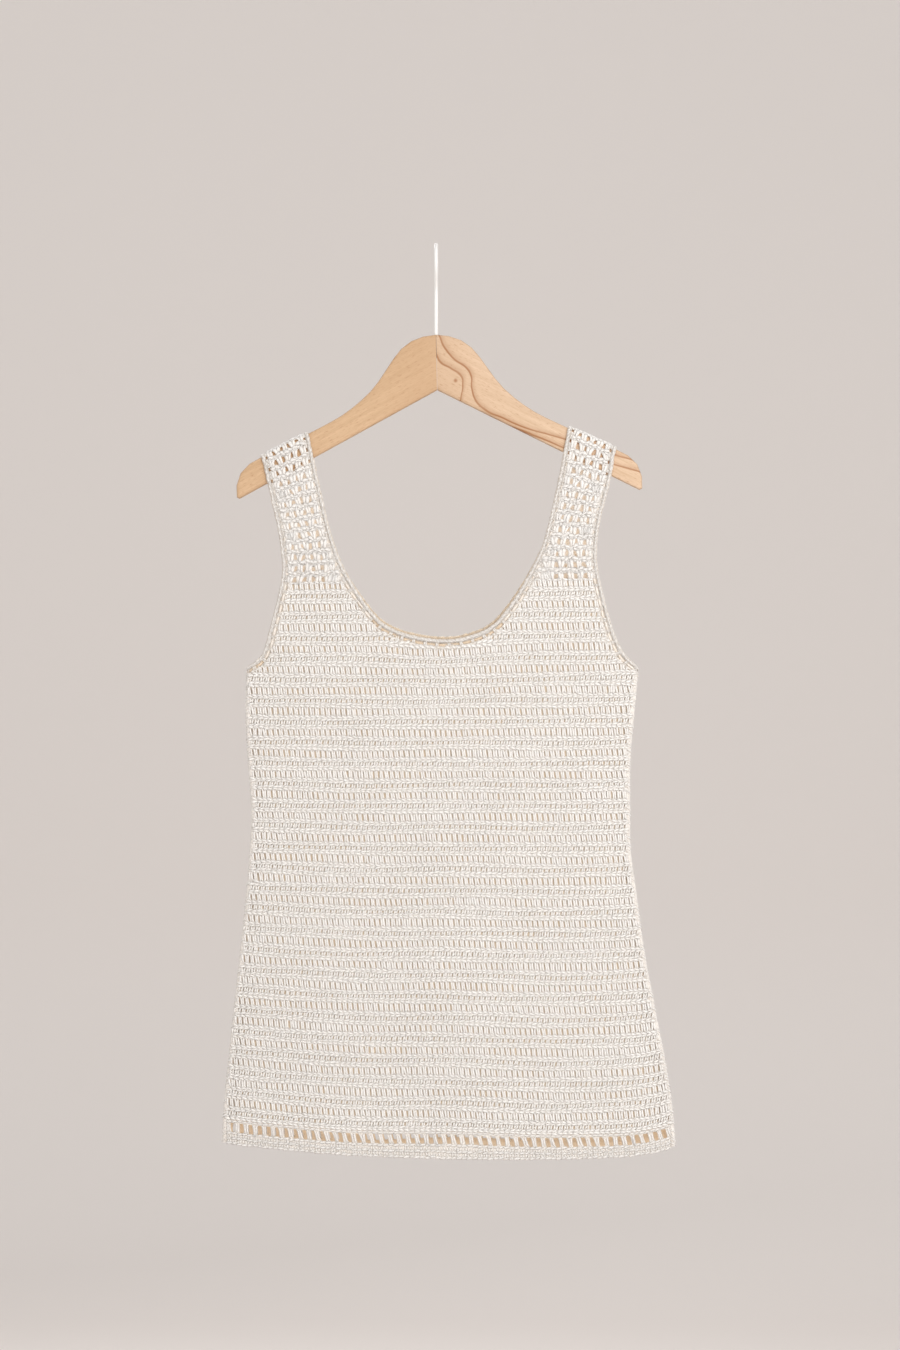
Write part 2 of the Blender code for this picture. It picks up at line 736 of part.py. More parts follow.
def build_hanger_arms(names, material, collection, bore):
    """One flat blank with rounded edges, sawn into two arms at the mitre and bored for the wire."""
    curve = bpy.data.curves.new("hanger_blank", "CURVE")
    curve.dimensions = "2D"
    curve.fill_mode = "BOTH"
    curve.extrude = (WOOD_THICKNESS / 2 - WOOD_ROUND) * MM
    curve.bevel_depth = WOOD_ROUND * MM
    curve.bevel_resolution = 1
    curve.offset = -WOOD_ROUND * MM
    outline = arm_outline()
    spline = curve.splines.new("POLY")
    spline.points.add(len(outline) - 1)
    for target, point in zip(spline.points, outline):
        target.co = (point.x * MM, point.y * MM, 0, 1)
    spline.use_cyclic_u = True
    blank = bpy.data.objects.new("hanger_blank", curve)
    collection.objects.link(blank)
    evaluated = blank.evaluated_get(bpy.context.evaluated_depsgraph_get())
    solid = bpy.data.meshes.new_from_object(evaluated)
    placed = Matrix.Translation((0, 0, -WOOD_CROWN_DROP * MM))
    placed = placed @ Matrix.Rotation(-WOOD_TILT, 4, "Y") @ Matrix.Rotation(math.pi / 2, 4, "X")
    for side, name in names.items():
        arm = bmesh.new()
        arm.from_mesh(solid)
        bmesh.ops.remove_doubles(arm, verts=arm.verts, dist=MERGE * MM)
        bmesh.ops.bisect_plane(
            arm,
            geom=arm.verts[:] + arm.edges[:] + arm.faces[:],
            plane_co=(side * MITRE_GAP / 2 * MM, 0, 0),
            plane_no=(side, 0, 0),
            clear_inner=True,
        )
        rim = [edge for edge in arm.edges if edge.is_boundary]
        bmesh.ops.edgeloop_fill(arm, edges=rim)
        bmesh.ops.recalc_face_normals(arm, faces=arm.faces)
        mesh = bpy.data.meshes.new(name)
        arm.to_mesh(mesh)
        arm.free()
        mesh.shade_smooth()
        mesh.set_sharp_from_angle(angle=SMOOTH_ANGLE)
        obj = add_object(name, mesh, material, collection)
        obj.matrix_world = placed
        cut_with(obj, bore)
    bpy.data.objects.remove(blank)


def hook_route():
    """The wire's middle line in the YZ plane, from the shank's foot to the open tip."""
    centre = Vector((0, -HOOK_RADIUS + WIRE_RADIUS))
    start = math.radians(HOOK_BOTTOM_ANGLE)
    meet = centre - HOOK_RADIUS * Vector((math.sin(start), math.cos(start)))
    swing = SHANK_BEND * Vector((-1 + math.cos(start), math.sin(start)))
    straight = (-meet.x + swing.x) / math.cos(start)
    rise = swing.y + straight * math.sin(start)
    shank_top = Vector((0, meet.y - rise))
    route = [Vector((0, -WOOD_CROWN_DROP - SHANK_DEPTH)), shank_top]
    bend_centre = shank_top - Vector((SHANK_BEND, 0))
    for k in range(1, SHANK_BEND_PARTS + 1):
        angle = start * k / SHANK_BEND_PARTS
        route.append(bend_centre + SHANK_BEND * Vector((math.cos(angle), math.sin(angle))))
    turn = 2 * math.pi - start - math.pi / 2 + math.radians(HOOK_TIP_ANGLE)
    for k in range(HOOK_PARTS + 1):
        angle = start + turn * k / HOOK_PARTS
        route.append(centre - HOOK_RADIUS * Vector((math.sin(angle), math.cos(angle))))
    return route


def build_hook(name, material, collection):
    curve = bpy.data.curves.new(name, "CURVE")
    curve.dimensions = "3D"
    curve.bevel_depth = WIRE_RADIUS * MM
    curve.bevel_resolution = 2
    curve.use_fill_caps = True
    route = hook_route()
    spline = curve.splines.new("POLY")
    spline.points.add(len(route) - 1)
    for target, point in zip(spline.points, route):
        target.co = (0, point.x * MM, point.y * MM, 1)
    spline.use_smooth = True
    return add_object(name, curve, material, collection)


def main():
    for obj in list(bpy.data.objects):
        bpy.data.objects.remove(obj)
    parts = bpy.data.collections.new("crochet_dress_on_hanger")
    cutters = bpy.data.collections.new("cutters")
    for collection in (parts, cutters):
        bpy.context.scene.collection.children.link(collection)
    cotton = new_material("cream cotton crochet", WHITE_COTTON, 0.9)
    edge_cotton = new_material("cream cotton edging", EDGE_COTTON, 0.9)
    wood = new_material("light wood", LIGHT_WOOD, 0.5)
    coating = new_material("white wire coating", WHITE_COATING, 0.35)

    sides = {LEFT: "left", RIGHT: "right"}
    faces = {FRONT: "front", BACK: "back"}
    armholes = [armhole_cutter(side, "armhole_" + word, cutters) for side, word in sides.items()]
    for face, word in faces.items():
        neck = neck_cutter(face, "neck_" + word, cutters)
        build_panel(face, word + "_panel", cotton, parts, [neck, *armholes])
        build_border(face, "hem_" + word, cotton, parts)
        for side, side_word in sides.items():
            build_strap(face, side, f"strap_{word}_{side_word}", cotton, parts)
    for side, word in sides.items():
        build_side_seam(side, "side_seam_" + word, edge_cotton, parts)
        build_armhole_edging(side, "armhole_edging_" + word, edge_cotton, parts)
    build_neck_edging("neck_edging", edge_cotton, parts)
    bore = bore_cutter("wire_bore", cutters)
    arm_names = {LEFT: "hanger_arm_left", RIGHT: "hanger_arm_right"}
    build_hanger_arms(arm_names, wood, parts, bore)
    build_hook("hook", coating, parts)


if __name__ == "__main__":
    main()
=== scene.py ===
"""The looks of a crochet mini dress on a wooden hanger: yarn laid stitch by stitch, grained wood
and a coated wire hook. Laid out as an add-on and run as a script; sizes are millimetres."""

import math
from collections import namedtuple

import bmesh
import bpy
import numpy as np
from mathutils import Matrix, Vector


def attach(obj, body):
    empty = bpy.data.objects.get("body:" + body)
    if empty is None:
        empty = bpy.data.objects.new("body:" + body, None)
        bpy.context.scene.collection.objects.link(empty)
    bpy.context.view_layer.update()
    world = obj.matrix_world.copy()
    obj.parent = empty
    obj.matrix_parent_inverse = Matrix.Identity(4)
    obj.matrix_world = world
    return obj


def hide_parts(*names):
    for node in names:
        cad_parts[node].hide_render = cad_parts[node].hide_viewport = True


bl_info = {
    "name": "Crochet dress on a hanger",
    "version": (1, 0, 0),
    "blender": (4, 5, 0),
    "location": "3D View > Sidebar > Crochet",
    "description": "Crochets a mini dress over its construction model, on a wooden hanger",
    "category": "Object",
}

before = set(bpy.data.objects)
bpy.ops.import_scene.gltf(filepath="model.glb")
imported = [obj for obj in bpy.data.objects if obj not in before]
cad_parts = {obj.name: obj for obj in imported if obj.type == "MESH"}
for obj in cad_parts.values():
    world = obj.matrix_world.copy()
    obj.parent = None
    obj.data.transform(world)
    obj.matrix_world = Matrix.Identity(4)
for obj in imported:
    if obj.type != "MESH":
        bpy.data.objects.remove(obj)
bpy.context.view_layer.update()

MM = 0.001
FRONT = -1
BACK = 1
LEFT = -1
RIGHT = 1
SIDES = {LEFT: "left", RIGHT: "right"}
FACES = {FRONT: "front", BACK: "back"}

# The construction model's own sizes, which the yarn follows
SEAM_GAP = 0.3
WALL = 2.6
SEAM_RADIUS = 5.8
SEAM_LIP = 2.0
LENS_POWER = 0.75
EDGING_WIDTH = 6.5
CURVE_STEP = 4.0
CURVE_PARTS = 12
BODY_ROW_COUNT = 52
STRAP_GAP_ROWS = 13
STRAP_GAPS = 4
STRAP_GAP_WIDTH = 4.5
STRAP_POST = 4.7
STRAP_GAP_SHARE = 0.52
STRAP_WIDENING = 0.35
STRAP_CLOSED_MESHES = ((4, 0), (8, 0))
STRAP_BASE_DROP = 365.7
STRAP_BASE_SLOPE = -0.0135
EYELETS = 49
EYELET_HEIGHT = 10.4
EYELET_SHARE = 0.57
EYELET_LEAN = 2.6
BACK_EYELET_SHARE = 0.32  # the back's posts are wider near the side seams
BORDER_TOP_STRIP = 3.0
WOOD_THICKNESS = 12.0
WOOD_ROUND = 3.0
WOOD_CROWN_DROP = 96.3
WOOD_TILT = math.radians(1.27)
STRAP_NECK_REACH = 142.6
STRAP_ARM_REACH = 193.9
HEM_DROP = 1000

# The yarn
Tone = namedtuple("Tone", "crown warm_depth flatness")
BODY_TONE = Tone(0.2, 2.6, 0.75)  # strands have no painted shade above the crown, and the full warm painted shade at this depth under it
OPEN_TONE = Tone(-0.05, 2.3, 0.5)  # flatness is a strand's height over its width, as it lies in the cloth
OPEN_SHADE = 0.9  # the cotton of the thicker strands of the straps and edges is painted this much darker, as they stand free and catch more light
STRAP_SHADE_PALENESS = 0.4  # the straps are thin, so the shade painted deep in them is paler, by this share of the way to the cotton's colour
STITCH_WIDTH = 5.7  # of a stitch as its strands are drawn below, and its row's height
STITCH_ROW = 11.55
TUBE_SIDES = 4
PLY_STEP = 0.618  # each next strand starts this share of the reach further along the twist
PLY_REACH = 9.0
STRAY_ACROSS = 0.16  # how far a strand of hand work strays, in millimetres
STRAY_DOWN = 0.3
STRAY_OUT = 0.14
STRAY_LEAN = 0.045  # and how far it leans, to a millimetre of its length
ROW_MIDDLE = 4  # how far down a row its stitches lean about, and a strap's width is taken
STITCH_SHIFT = 0.25  # of a stitch, to one side and the other by turns
LEG_PULL = 0.13  # how much further apart the legs of a pulled stitch stand
PULL_BROAD = 0.7  # share of the pull that changes slowly along a row, and share that is chance
PULL_CHANCE = 0.5
EDGE_ROWS = 12  # rows at the top that reach the neck or the armholes
EDGE_CLEARANCE = 0.4  # stitches are left out when their middle is this near the edging's slots
SETTLING_STEPS = 4  # rounds in which the ends of a row are found
SLIT_MARGIN = 0.1  # points this much deeper than the slits are on the cloth's inner side
GROUND_SINK = 0.8  # how far the straps' and seams' plain ground lies under the cloth's surface
HEM_SINK = 0.75  # and the hem's
GROUND_WALL = 1.0
BAND_SINK = 0.85  # the body's ground under the stitches' heads and feet
SLIT_SINK = 1.8  # and between their legs
PALE_COTTON = 1.04  # mottle, as factors of the colour
DULL_COTTON = 0.955
PALE_COATING = 1.03
DULL_COATING = 0.96
DULL_PAPER = 0.985
PLY_STRETCH = (0.4, 3.0, 1.0)  # of the twist, along the yarn and round it
GLOW_GAIN = 1.3  # painted glow, which stands in for daylight through the cloth: a deeper colour than the painted shade, by this gain and power
GLOW_DEPTH = 1.3
INSIDE = 2.0  # mark of the cloth's inner side, where 1 is the deepest of its outer side; the inner side takes the full painted shade and the brightest painted glow
OPEN_GROUND_SHADE = 0.25  # mark of the ground under strands that stand apart, which gives it a little painted shade, and on the straps a faint painted glow
PANEL_COLUMNS = 32
# Each part's first row, and the one after its last
PANEL_PARTS = {"upper": (0, 18), "middle": (18, 35), "lower": (35, BODY_ROW_COUNT)}
NECK_SAG = 8.0  # how far the rows sag under the neckline
NECK_SAG_DROP = 425  # where the sag starts, and how far it takes to grow and to fade
NECK_SAG_GROWTH = 12
NECK_SAG_FADE = 38
NECK_SAG_MIDDLE = 5
NECK_SAG_HALF_WIDTH = 58
CUT_REACH = 60.0  # how far a cutter stands clear of what it cuts
ROUND_TURNS = (0.3, 0.6, 0.9)  # of the quarter turn over the arm's rounded top
UNDERARM_TURNS = (-50, -20, 20, 50)  # degrees round the side seam's top
ROPE_PITCH = 4.3  # slip stitches along an edge
SLOT_PITCH = 12.8  # openings along the neck and armhole edging


def table(kind, *rows):
    """Rows of one kind, each with its named columns."""
    return tuple(kind(*row) for row in rows)


ArmPoint = namedtuple("ArmPoint", "reach fall")
ARM_TOP = table(
    ArmPoint,
    (107, 87.3), (141, 104.6), (192, 128.8), (209, 138), (217.5, 147.5),
)

BodyRow = namedtuple("BodyRow", "drop left right middle_depth side_depth")
BODY_ROWS = table(
    BodyRow,
    (200, -208, 222, 8.9, 8.9), (310, -208, 222, 8.9, 8.9),
    (366, -208, 222, 9.6, 9.2), (430, -208, 222, 12.4, 7.0),
    (463, -208, 222, 13.4, 5.8), (512, -209, 217.8, 14.2, 5.8),
    (557, -207, 213.8, 14.6, 5.8), (618, -202.8, 213.2, 15.2, 5.8),
    (663, -204.8, 214.2, 16.2, 5.8), (703, -208, 219.6, 17.4, 5.8),
    (770, -215, 228.8, 19.6, 5.8), (835, -222.2, 241, 22.0, 5.8),
    (890, -228, 251.8, 24.2, 5.8), (935, -232.6, 258.8, 25.8, 5.8),
    (967, -234.4, 261.8, 26.6, 5.8), (HEM_DROP, -235.8, 263.4, 27.2, 5.8),
)

HemRow = namedtuple("HemRow", "x front_drop back_drop band")
HEM_ROWS = table(
    HemRow,
    (-240, 979.5, 980.5, 12.5), (-167, 985.3, 988.3, 12.8),
    (-77, 991.9, 994.6, 13.8), (14, 994.1, 994.8, 16.0),
    (110, 995.0, 993.6, 12.8), (150, 995.2, 993.4, 12.3),
    (223, 991.9, 990.8, 11.8), (265, 984.5, 984.0, 13.0),
)

NeckPoint = namedtuple("NeckPoint", "x front_drop back_drop")
NECK_LINE = table(
    NeckPoint,
    (-129.6, 252.3, 252.3), (-117.4, 304.9, 304.9), (-110.0, 329.0, 328.5),
    (-101.5, 351.3, 350.3), (-88.7, 373.5, 371.5), (-72.3, 396.5, 393.8),
    (-58.9, 411.0, 408.0), (-40.9, 421.0, 417.6), (-18.0, 427.2, 423.6),
    (5.9, 430.0, 426.4), (28.2, 428.2, 424.4), (50.6, 421.1, 417.0),
    (64.5, 411.8, 407.4), (76.0, 398.8, 394.4), (88.5, 381.0, 377.0),
    (101.2, 359.1, 356.5), (111.5, 338.0, 337.0), (119.8, 315.6, 315.6),
    (135.1, 249.7, 249.7),
)

OutlinePoint = namedtuple("OutlinePoint", "x drop")
ARMHOLE_LINES = {
    LEFT: table(
        OutlinePoint,
        (-183.4, 260.9), (-173.0, 308.5), (-169.3, 332.9), (-167.8, 353.6),
        (-169.9, 370.0), (-174.5, 390.0), (-181.3, 417.0), (-187.6, 440.0),
        (-193.5, 450.2), (-202.2, 456.8),
    ),
    RIGHT: table(
        OutlinePoint,
        (189.8, 259.1), (182.3, 287.4), (177.6, 310.0), (175.7, 332.7),
        (176.3, 349.7), (180.4, 370.4), (186.0, 393.0), (193.6, 419.3),
        (201.0, 437.2), (208.0, 447.8), (216.2, 455.6),
    ),
}
UNDERARM_DROPS = {LEFT: 460.3, RIGHT: 461.0}

Fold = namedtuple("Fold", "face x half_width out top_drop")
FOLDS = table(
    Fold,
    (FRONT, -150, 42, 2.6, 620), (FRONT, -62, 46, -2.8, 560),
    (FRONT, 48, 52, 3.0, 640), (FRONT, 158, 40, -2.4, 700),
    (BACK, -120, 50, -3.0, 600), (BACK, 10, 48, 3.4, 580),
    (BACK, 130, 50, -2.8, 660),
)

# One strand of yarn is a row of stations: across the stitch, down the row, out of the cloth, half width
Station = namedtuple("Station", "across down out radius")


def mirrored(strand):
    return tuple(station._replace(across=-station.across) for station in strand)


TALL_LEG = table(
    Station,
    (-1.6, -0.6, -1.3, 1.1), (-1.08, 2.0, -0.5, 1.25), (-1.08, 6.3, -0.5, 1.25), (-1.6, 9.0, -1.2, 1.2),
)
TALL_HEAD = table(
    Station,
    (-3.2, 8.5, -1.0, 1.15), (-1.0, 9.1, -0.5, 1.5), (1.0, 9.7, -0.5, 1.5), (3.2, 10.3, -1.0, 1.15),
)
TALL_FOOT = table(
    Station,
    (-3.2, 12.7, -1.05, 1.1), (-1.0, 12.2, -0.55, 1.45), (1.0, 11.7, -0.55, 1.45), (3.2, 11.2, -1.05, 1.1),
)
SHORT_LEG = table(Station, (-1.6, 0.9, -1.2, 1.1), (-1.1, 4.0, -0.5, 1.25), (-1.6, 7.2, -1.2, 1.15))
SHORT_HEAD = table(
    Station,
    (-3.2, 8.3, -1.0, 1.15), (-1.0, 7.7, -0.5, 1.5), (1.0, 7.1, -0.5, 1.5), (3.2, 6.5, -1.0, 1.15),
)
SHORT_FOOT = table(
    Station,
    (-3.2, 9.4, -1.05, 1.1), (-1.0, 9.9, -0.55, 1.45), (1.0, 10.5, -0.55, 1.45), (3.2, 11.1, -1.05, 1.1),
)
FIRST_CHAIN = table(
    Station,
    (-3.3, -0.2, -1.2, 0.9), (-1.1, 0.3, -0.3, 1.15), (1.1, 0.8, -0.3, 1.15), (3.3, 1.3, -1.2, 0.9),
)
TALL_STITCH = (TALL_LEG, mirrored(TALL_LEG), TALL_HEAD, TALL_FOOT)
SHORT_STITCH = (SHORT_LEG, mirrored(SHORT_LEG), SHORT_HEAD, SHORT_FOOT)
LEGS = (TALL_LEG, mirrored(TALL_LEG), SHORT_LEG, mirrored(SHORT_LEG))
TALL_LEAN = 0.13  # rows are worked to and fro, so their stitches lean by turns
SHORT_LEAN = -0.18
TALL_GROUND = ((0.01, BAND_SINK), (0.09, SLIT_SINK), (0.66, SLIT_SINK), (0.74, BAND_SINK))
SHORT_GROUND = ((0.12, BAND_SINK), (0.19, SLIT_SINK), (0.50, SLIT_SINK), (0.58, BAND_SINK))
SEAM_LAP = 4.2  # how far stitches may run over the side seam's flat lip
EDGE_SINK = 1.5  # how far strands go down where they run under the edging

# Sines along the rows: millimetres for one radian, and how far they move on with each row
Ripple = namedtuple("Ripple", "length turn")
ROW_WAVE = Ripple(31.0, 1.7)
SLOW_ROW_WAVE = Ripple(67.0, -2.3)
SLOW_WAVE_SHARE = 0.7
WAVE_END_ROWS = 3  # rows at the top and foot over which the wave fades
PULL_WAVE = Ripple(41.0, 0.9)
SLOW_PULL_WAVE = Ripple(83.0, -0.37)

# Strap mesh: two legs that part at the top of each gap, and loops over the bar
MESH_LEG = table(
    Station,
    (-2.7, 3.8, -1.0, 1.7), (-1.9, 6.2, -0.6, 1.95), (-1.25, 9.2, -0.55, 1.95), (-1.2, 12.6, -1.0, 1.8),
)
MESH_LOOP = table(
    Station,
    (-3.3, 0.9, -0.9, 1.6), (-1.1, 1.5, -0.5, 2.1), (1.1, 2.2, -0.5, 2.1), (3.3, 2.8, -0.9, 1.6),
)
MESH_UNDER_LOOP = table(Station, (-3.2, 4.7, -0.9, 1.4), (0.0, 4.1, -0.6, 1.8), (3.2, 4.4, -0.9, 1.4))
OVER_TOP = table(
    Station,
    (-3.2, 0.5, -1.1, 1.4), (-1.1, 0.2, -0.3, 1.8), (1.1, -0.2, -0.3, 1.8), (3.2, -0.5, -1.1, 1.4),
)
STRAP_ROW_HEIGHT = 11.9
LEG_SIDES = 5
LEG_UNEVENNESS = 1.6
LOOP_UNEVENNESS = 1.1
LOOP_PITCH = 4.6
LEAST_LOOPS = 4
PAIR_WIDTH = 5.2  # of a post that one pair of legs fills
CLOSED_LEG = 0.8  # from a closed mesh's middle to its legs
END_REACH = 1.0  # how far strands may stand out past a band's ends and sides
SIDE_REACH = 0.8
FIRST_GAP = 7.6  # from the arm's middle down to the first gap, on the round of the arm
STRAP_PARALLAX = 1.1  # the back's rows are raised by this, so that its bars stand behind the front's gaps
CAP_STEP = 2.4  # of the ground's rows over the arm, which end this far above the first gap
CAP_CLEARANCE = 1
PART_ROW_START = 0.5  # the back has one more row at its top and one at its foot, less tall than the rest
PART_ROW_SCALE = 0.6

# How the hanging dress pulls its straps: size, and radians to a millimetre along and across
Pull = namedtuple("Pull", "size along across start")
PULLS_ALONG = table(Pull, (1.0, 0.13, 0.55, 0), (0.7, 0.29, -0.31, 1))
PULLS_ACROSS = table(Pull, (0.6, 0.21, 0.4, 0), (0.4, 0.47, -0.2, 2))
PULL_SIDE_FADE = 6  # millimetres from a strap's sides and ends over which they fade
PULL_END_FADE = 9

# Edging, measured along the edge, in from the edge, and out
RIM_LOOP = table(
    Station,
    (-4.4, 1.4, -1.2, 1.6), (-1.4, 1.6, -0.8, 2.0), (1.4, 2.0, -0.8, 2.0), (4.4, 2.3, -1.2, 1.6),
)
RIM_UNDER_LOOP = table(Station, (-4.2, 3.0, -1.1, 1.0), (0.0, 2.8, -0.85, 1.4), (4.2, 2.5, -1.1, 1.0))
SLOT_LEG = table(Station, (-0.9, 2.9, -1.4, 1.1), (-0.62, 5.4, -0.9, 1.2), (-1.0, 8.2, -1.3, 1.1))
FOOT_LOOP = table(Station, (-3.3, 9.3, -1.2, 1.2), (0.0, 9.0, -0.7, 1.5), (3.3, 9.3, -1.2, 1.2))
# a strand laid behind the slots, which shows painted shade in them
SLOT_SHADE_STRAND = table(Station, (-7.2, 5.9, -1.6, 1.7), (0.0, 5.9, -1.6, 2.2), (7.2, 5.9, -1.6, 1.7))
RIM_UNEVENNESS = 0.6
RIM_SHADE_AND_GLOW = 1.9  # how much more painted shade and glow the sides of the rim's strands take than the posts' do
UNDER_RIM_SHADE_AND_GLOW = 0.75  # and how much the loop under it takes, which lies deep
OPEN_SLOT_SINK = 1.5  # how much further the slots' painted-shade strand is sunk where they stand open, so that it takes the full painted shade and glow
SLOT_CLEARANCE = 1.0  # between the slots and the body's own stitches
STRAP_POST_SIDES = 2.9  # beside a strap the slots are short, with legs this far to each side of a post's
OPEN_SLOTS_BELOW = {"neck_edging": 408, "armhole_edging_left": 452, "armhole_edging_right": HEM_DROP}
OVER_ARM = 40.0  # slots this near the arm's middle show the wood instead of a strand painted in shade

# Side seam: loops that wrap from the front lip round to the back one
WRAPS = ((-0.02, 0.56, 7.0), (0.44, 1.02, -7.0))  # first and last share of the way round, and lean
WRAP_PARTS = 4
WRAP_SINK = -0.9
WRAP_RADIUS = 1.2
WRAP_WAY = 16.0  # millimetres that stand for the whole way round
WRAP_UNEVENNESS = 1.8
SEAM_PITCH = 3.2
SEAM_BENDS = 13
SEAM_COLUMNS = 9
SEAM_ROWS = 40

# Hem border: posts between the eyelets, and rows at levels from 0 at its top over 1 and 2 to 3 at the hem
POST_LEG = table(
    Station,
    (-1.9, -1.0, -1.2, 1.3), (-1.05, 2.4, -0.5, 1.45), (-0.95, 7.6, -0.5, 1.45), (-1.6, 11.4, -1.2, 1.3),
)
HEM_ROPE = table(
    Station,
    (-3.5, 0.6, -1.1, 1.3), (-1.2, 0.2, -0.6, 1.65), (1.2, -0.2, -0.6, 1.65), (3.5, -0.6, -1.1, 1.3),
)
HEM_LEG = table(Station, (-1.5, -2.6, -1.1, 1.2), (-1.2, 0.0, -0.6, 1.4), (-1.5, 2.6, -1.1, 1.2))
HEM_LINES = (
    (HEM_ROPE, 0.28), (HEM_ROPE, 2.09), (HEM_LEG, 2.34), (mirrored(HEM_LEG), 2.34),
    (HEM_ROPE, 2.52), (HEM_LEG, 2.74), (mirrored(HEM_LEG), 2.74), (HEM_ROPE, 2.93),
)
HEM_LEVELS = ((0, 0.5), (1, 0.5), (2, -0.5), (3, -0.5))  # with the share of a post's lean at each
EYELET_MIDDLE = 1.5
POST_UNEVENNESS = 1.8
HEM_MIDDLE = 15  # above the hem, where the border's width is taken
HEM_END_REACH = 1.5
LEAN_START = -205  # posts lean little up to here, and more and more over this far
LEAN_GROWTH = 70
LEAST_LEAN = 0.15
BACK_ALIKE_MIDDLE = 0.47  # share of the width where the back's posts are like the front's,
BACK_ALIKE_REACH = 0.14  # so far on each side,
BACK_CHANGE = 0.1  # and over this far they change,
BACK_END = 0.02  # but for the ends

# Added to the seed for each group of pieces, so that none changes another's random numbers
STRAP_DRAWS = 10
EDGING_DRAWS = 20
HEM_DRAWS = 30
SEAM_DRAWS = 40

# The stage, in metres
FLOOR_Z = -1.9
WALL_Y = 4.4  # behind the camera's place for a view of the back
WALL_HEIGHT = 6.5
SWEEP_BEND = 0.9
STAGE_SIZE = 18.0
VIEW_HEIGHT = 1.478  # of the camera's view at the dress
VIEW_X = 0.0153
VIEW_Z = -0.4686
SENSOR = 36
SWEEP_PARTS = 16
NEARBY = 0.01
SURROUND_COLOR = (1.0, 0.985, 0.97, 1.0)
Light = namedtuple("Light", "place aim size color")
LIGHTS = {
    "key": Light((0.95, -1.9, 0.25), (0.1, 0, -0.4), 2.0, (1.0, 0.994, 0.985)),
    "fill": Light((-1.6, -2.8, -0.2), (0, 0, -0.5), 2.6, (1.0, 0.985, 0.965)),
    "back": Light((-0.5, 3.2, 0.5), (0, 0, -0.45), 2.4, (1.0, 0.99, 0.98)),
}

# The hanger; tones are factors of the wood's colour
MERGE_DISTANCE = 0.00002
SMOOTH_ANGLE = math.radians(40)
LEFT_GRAIN_SLOPE = math.radians(29)
RIGHT_GRAIN_SLOPE = math.radians(-27)
GRAIN_LAYERS = (  # broad grain, fine grain and flecks: stretch, detail and roughness
    ((9.0, 130.0, 200.0), 5.0, 0.6),
    ((60.0, 900.0, 1500.0), 3.0, 0.55),
    ((170.0, 500.0, 1300.0), 1.0, 0.5),
)
LIGHT_WOOD = 1.07
DARK_WOOD = (0.90, 0.87, 0.82)
WOOD_BY_HOOK = (0.86, 0.80, 0.74)
WOOD_STREAK = (0.84, 0.78, 0.70)
# Ranges of a noise or a distance, and what they stand for at their two ends
BROAD_RANGE = (0.32, 0.68, 0.0, 1.0)
BY_HOOK_RANGE = (0.02, 0.08, 0.6, 0.0)
STREAK_RANGE = (0.46, 0.70, 0.0, 0.75)
FLECK_RANGE = (0.60, 0.70, 0.0, 0.42)
KNOT_RANGE = (0.0009, 0.0028, 0.85, 0.0)
LINE_WOBBLE = (0.0, 1.0, 0.0006, 0.0036)
LINE_STRENGTH = (0.3, 0.7, 1.0, 0.8)
LINE_SLANT = 0.35  # how far growth lines move to a millimetre of the wood's depth
LINE_TONES = ((0.05, 0.0), (0.14, 1.0), (0.27, 0.92), (0.36, 0.34), (0.90, 0.0))  # across a growth line
LINE_BELOW = -0.0018  # and how far it reaches, in metres
LINE_ABOVE = 0.0072

# The right arm's growth lines, as (along, across) a line that falls at 45 degrees from the hook's foot
LINE_START = 60.0
LINE_LENGTH = 280.0
LINE_LOW = -112.0
LINE_DEPTH = 112.0
RIGHT_ARM_LINES = (
    (
        (60, -62), (72, -66.6), (86, -72.1), (101, -73.3), (118, -70.9), (127, -73.3),
        (137, -82.2), (150, -88.4), (164, -88.2), (182, -82.7), (206, -73.3), (227, -61.4),
        (248, -49.6), (274, -35.5), (301, -21.7), (315, -13.9), (340, 0),
    ),
    (
        (60, -78), (84, -83.7), (93, -86.3), (106, -82.7), (118, -80.3), (128, -86.8),
        (137, -98.9), (150, -111), (340, -111),
    ),
    (
        (60, -111), (150, -111), (158, -100), (166, -92.4), (191, -83.9), (218, -72.1),
        (252, -57.8), (305, -31.2), (340, -12),
    ),
)
RIGHT_ARM_KNOT = Vector((21.4, -146.8))


# ---- settings ----


class CrochetYarnSettings(bpy.types.PropertyGroup):
    stitch_pitch: bpy.props.FloatProperty(
        name="Stitch pitch", description="Width of one stitch of the body",
        default=0.0057, min=0.0045, max=0.008, precision=4, unit="LENGTH",
    )
    row_wave: bpy.props.FloatProperty(
        name="Row wave", description="How far a row strays from level",
        default=0.00055, min=0.0, max=0.0015, precision=5, unit="LENGTH",
    )
    unevenness: bpy.props.FloatProperty(
        name="Unevenness", description="How far hand work strays from the pattern",
        default=1.0, min=0.0, max=1.6, subtype="FACTOR",
    )
    cotton: bpy.props.FloatVectorProperty(
        name="Cotton", description="Colour of the yarn",
        default=(0.94, 0.905, 0.87), min=0.0, max=1.0, subtype="COLOR",
    )
    # painted shade: the colour painted on the cotton where shade falls deep between the strands and on the
    # cloth's inner side
    hollow: bpy.props.FloatVectorProperty(
        name="Hollows", description="Colour of the cotton deep between the strands",
        default=(0.70, 0.575, 0.44), min=0.0, max=1.0, subtype="COLOR",
    )
    # painted glow: an emission on the cotton's deep parts and inner side, which stands in for daylight
    # through the thin cloth
    through: bpy.props.FloatProperty(
        name="Through light", description="Daylight that the thin cloth lets through",
        default=0.24, min=0.0, max=1.0, subtype="FACTOR",
    )
    seed: bpy.props.IntProperty(
        name="Seed", description="Which unevenness of hand work is made", default=7, min=0
    )


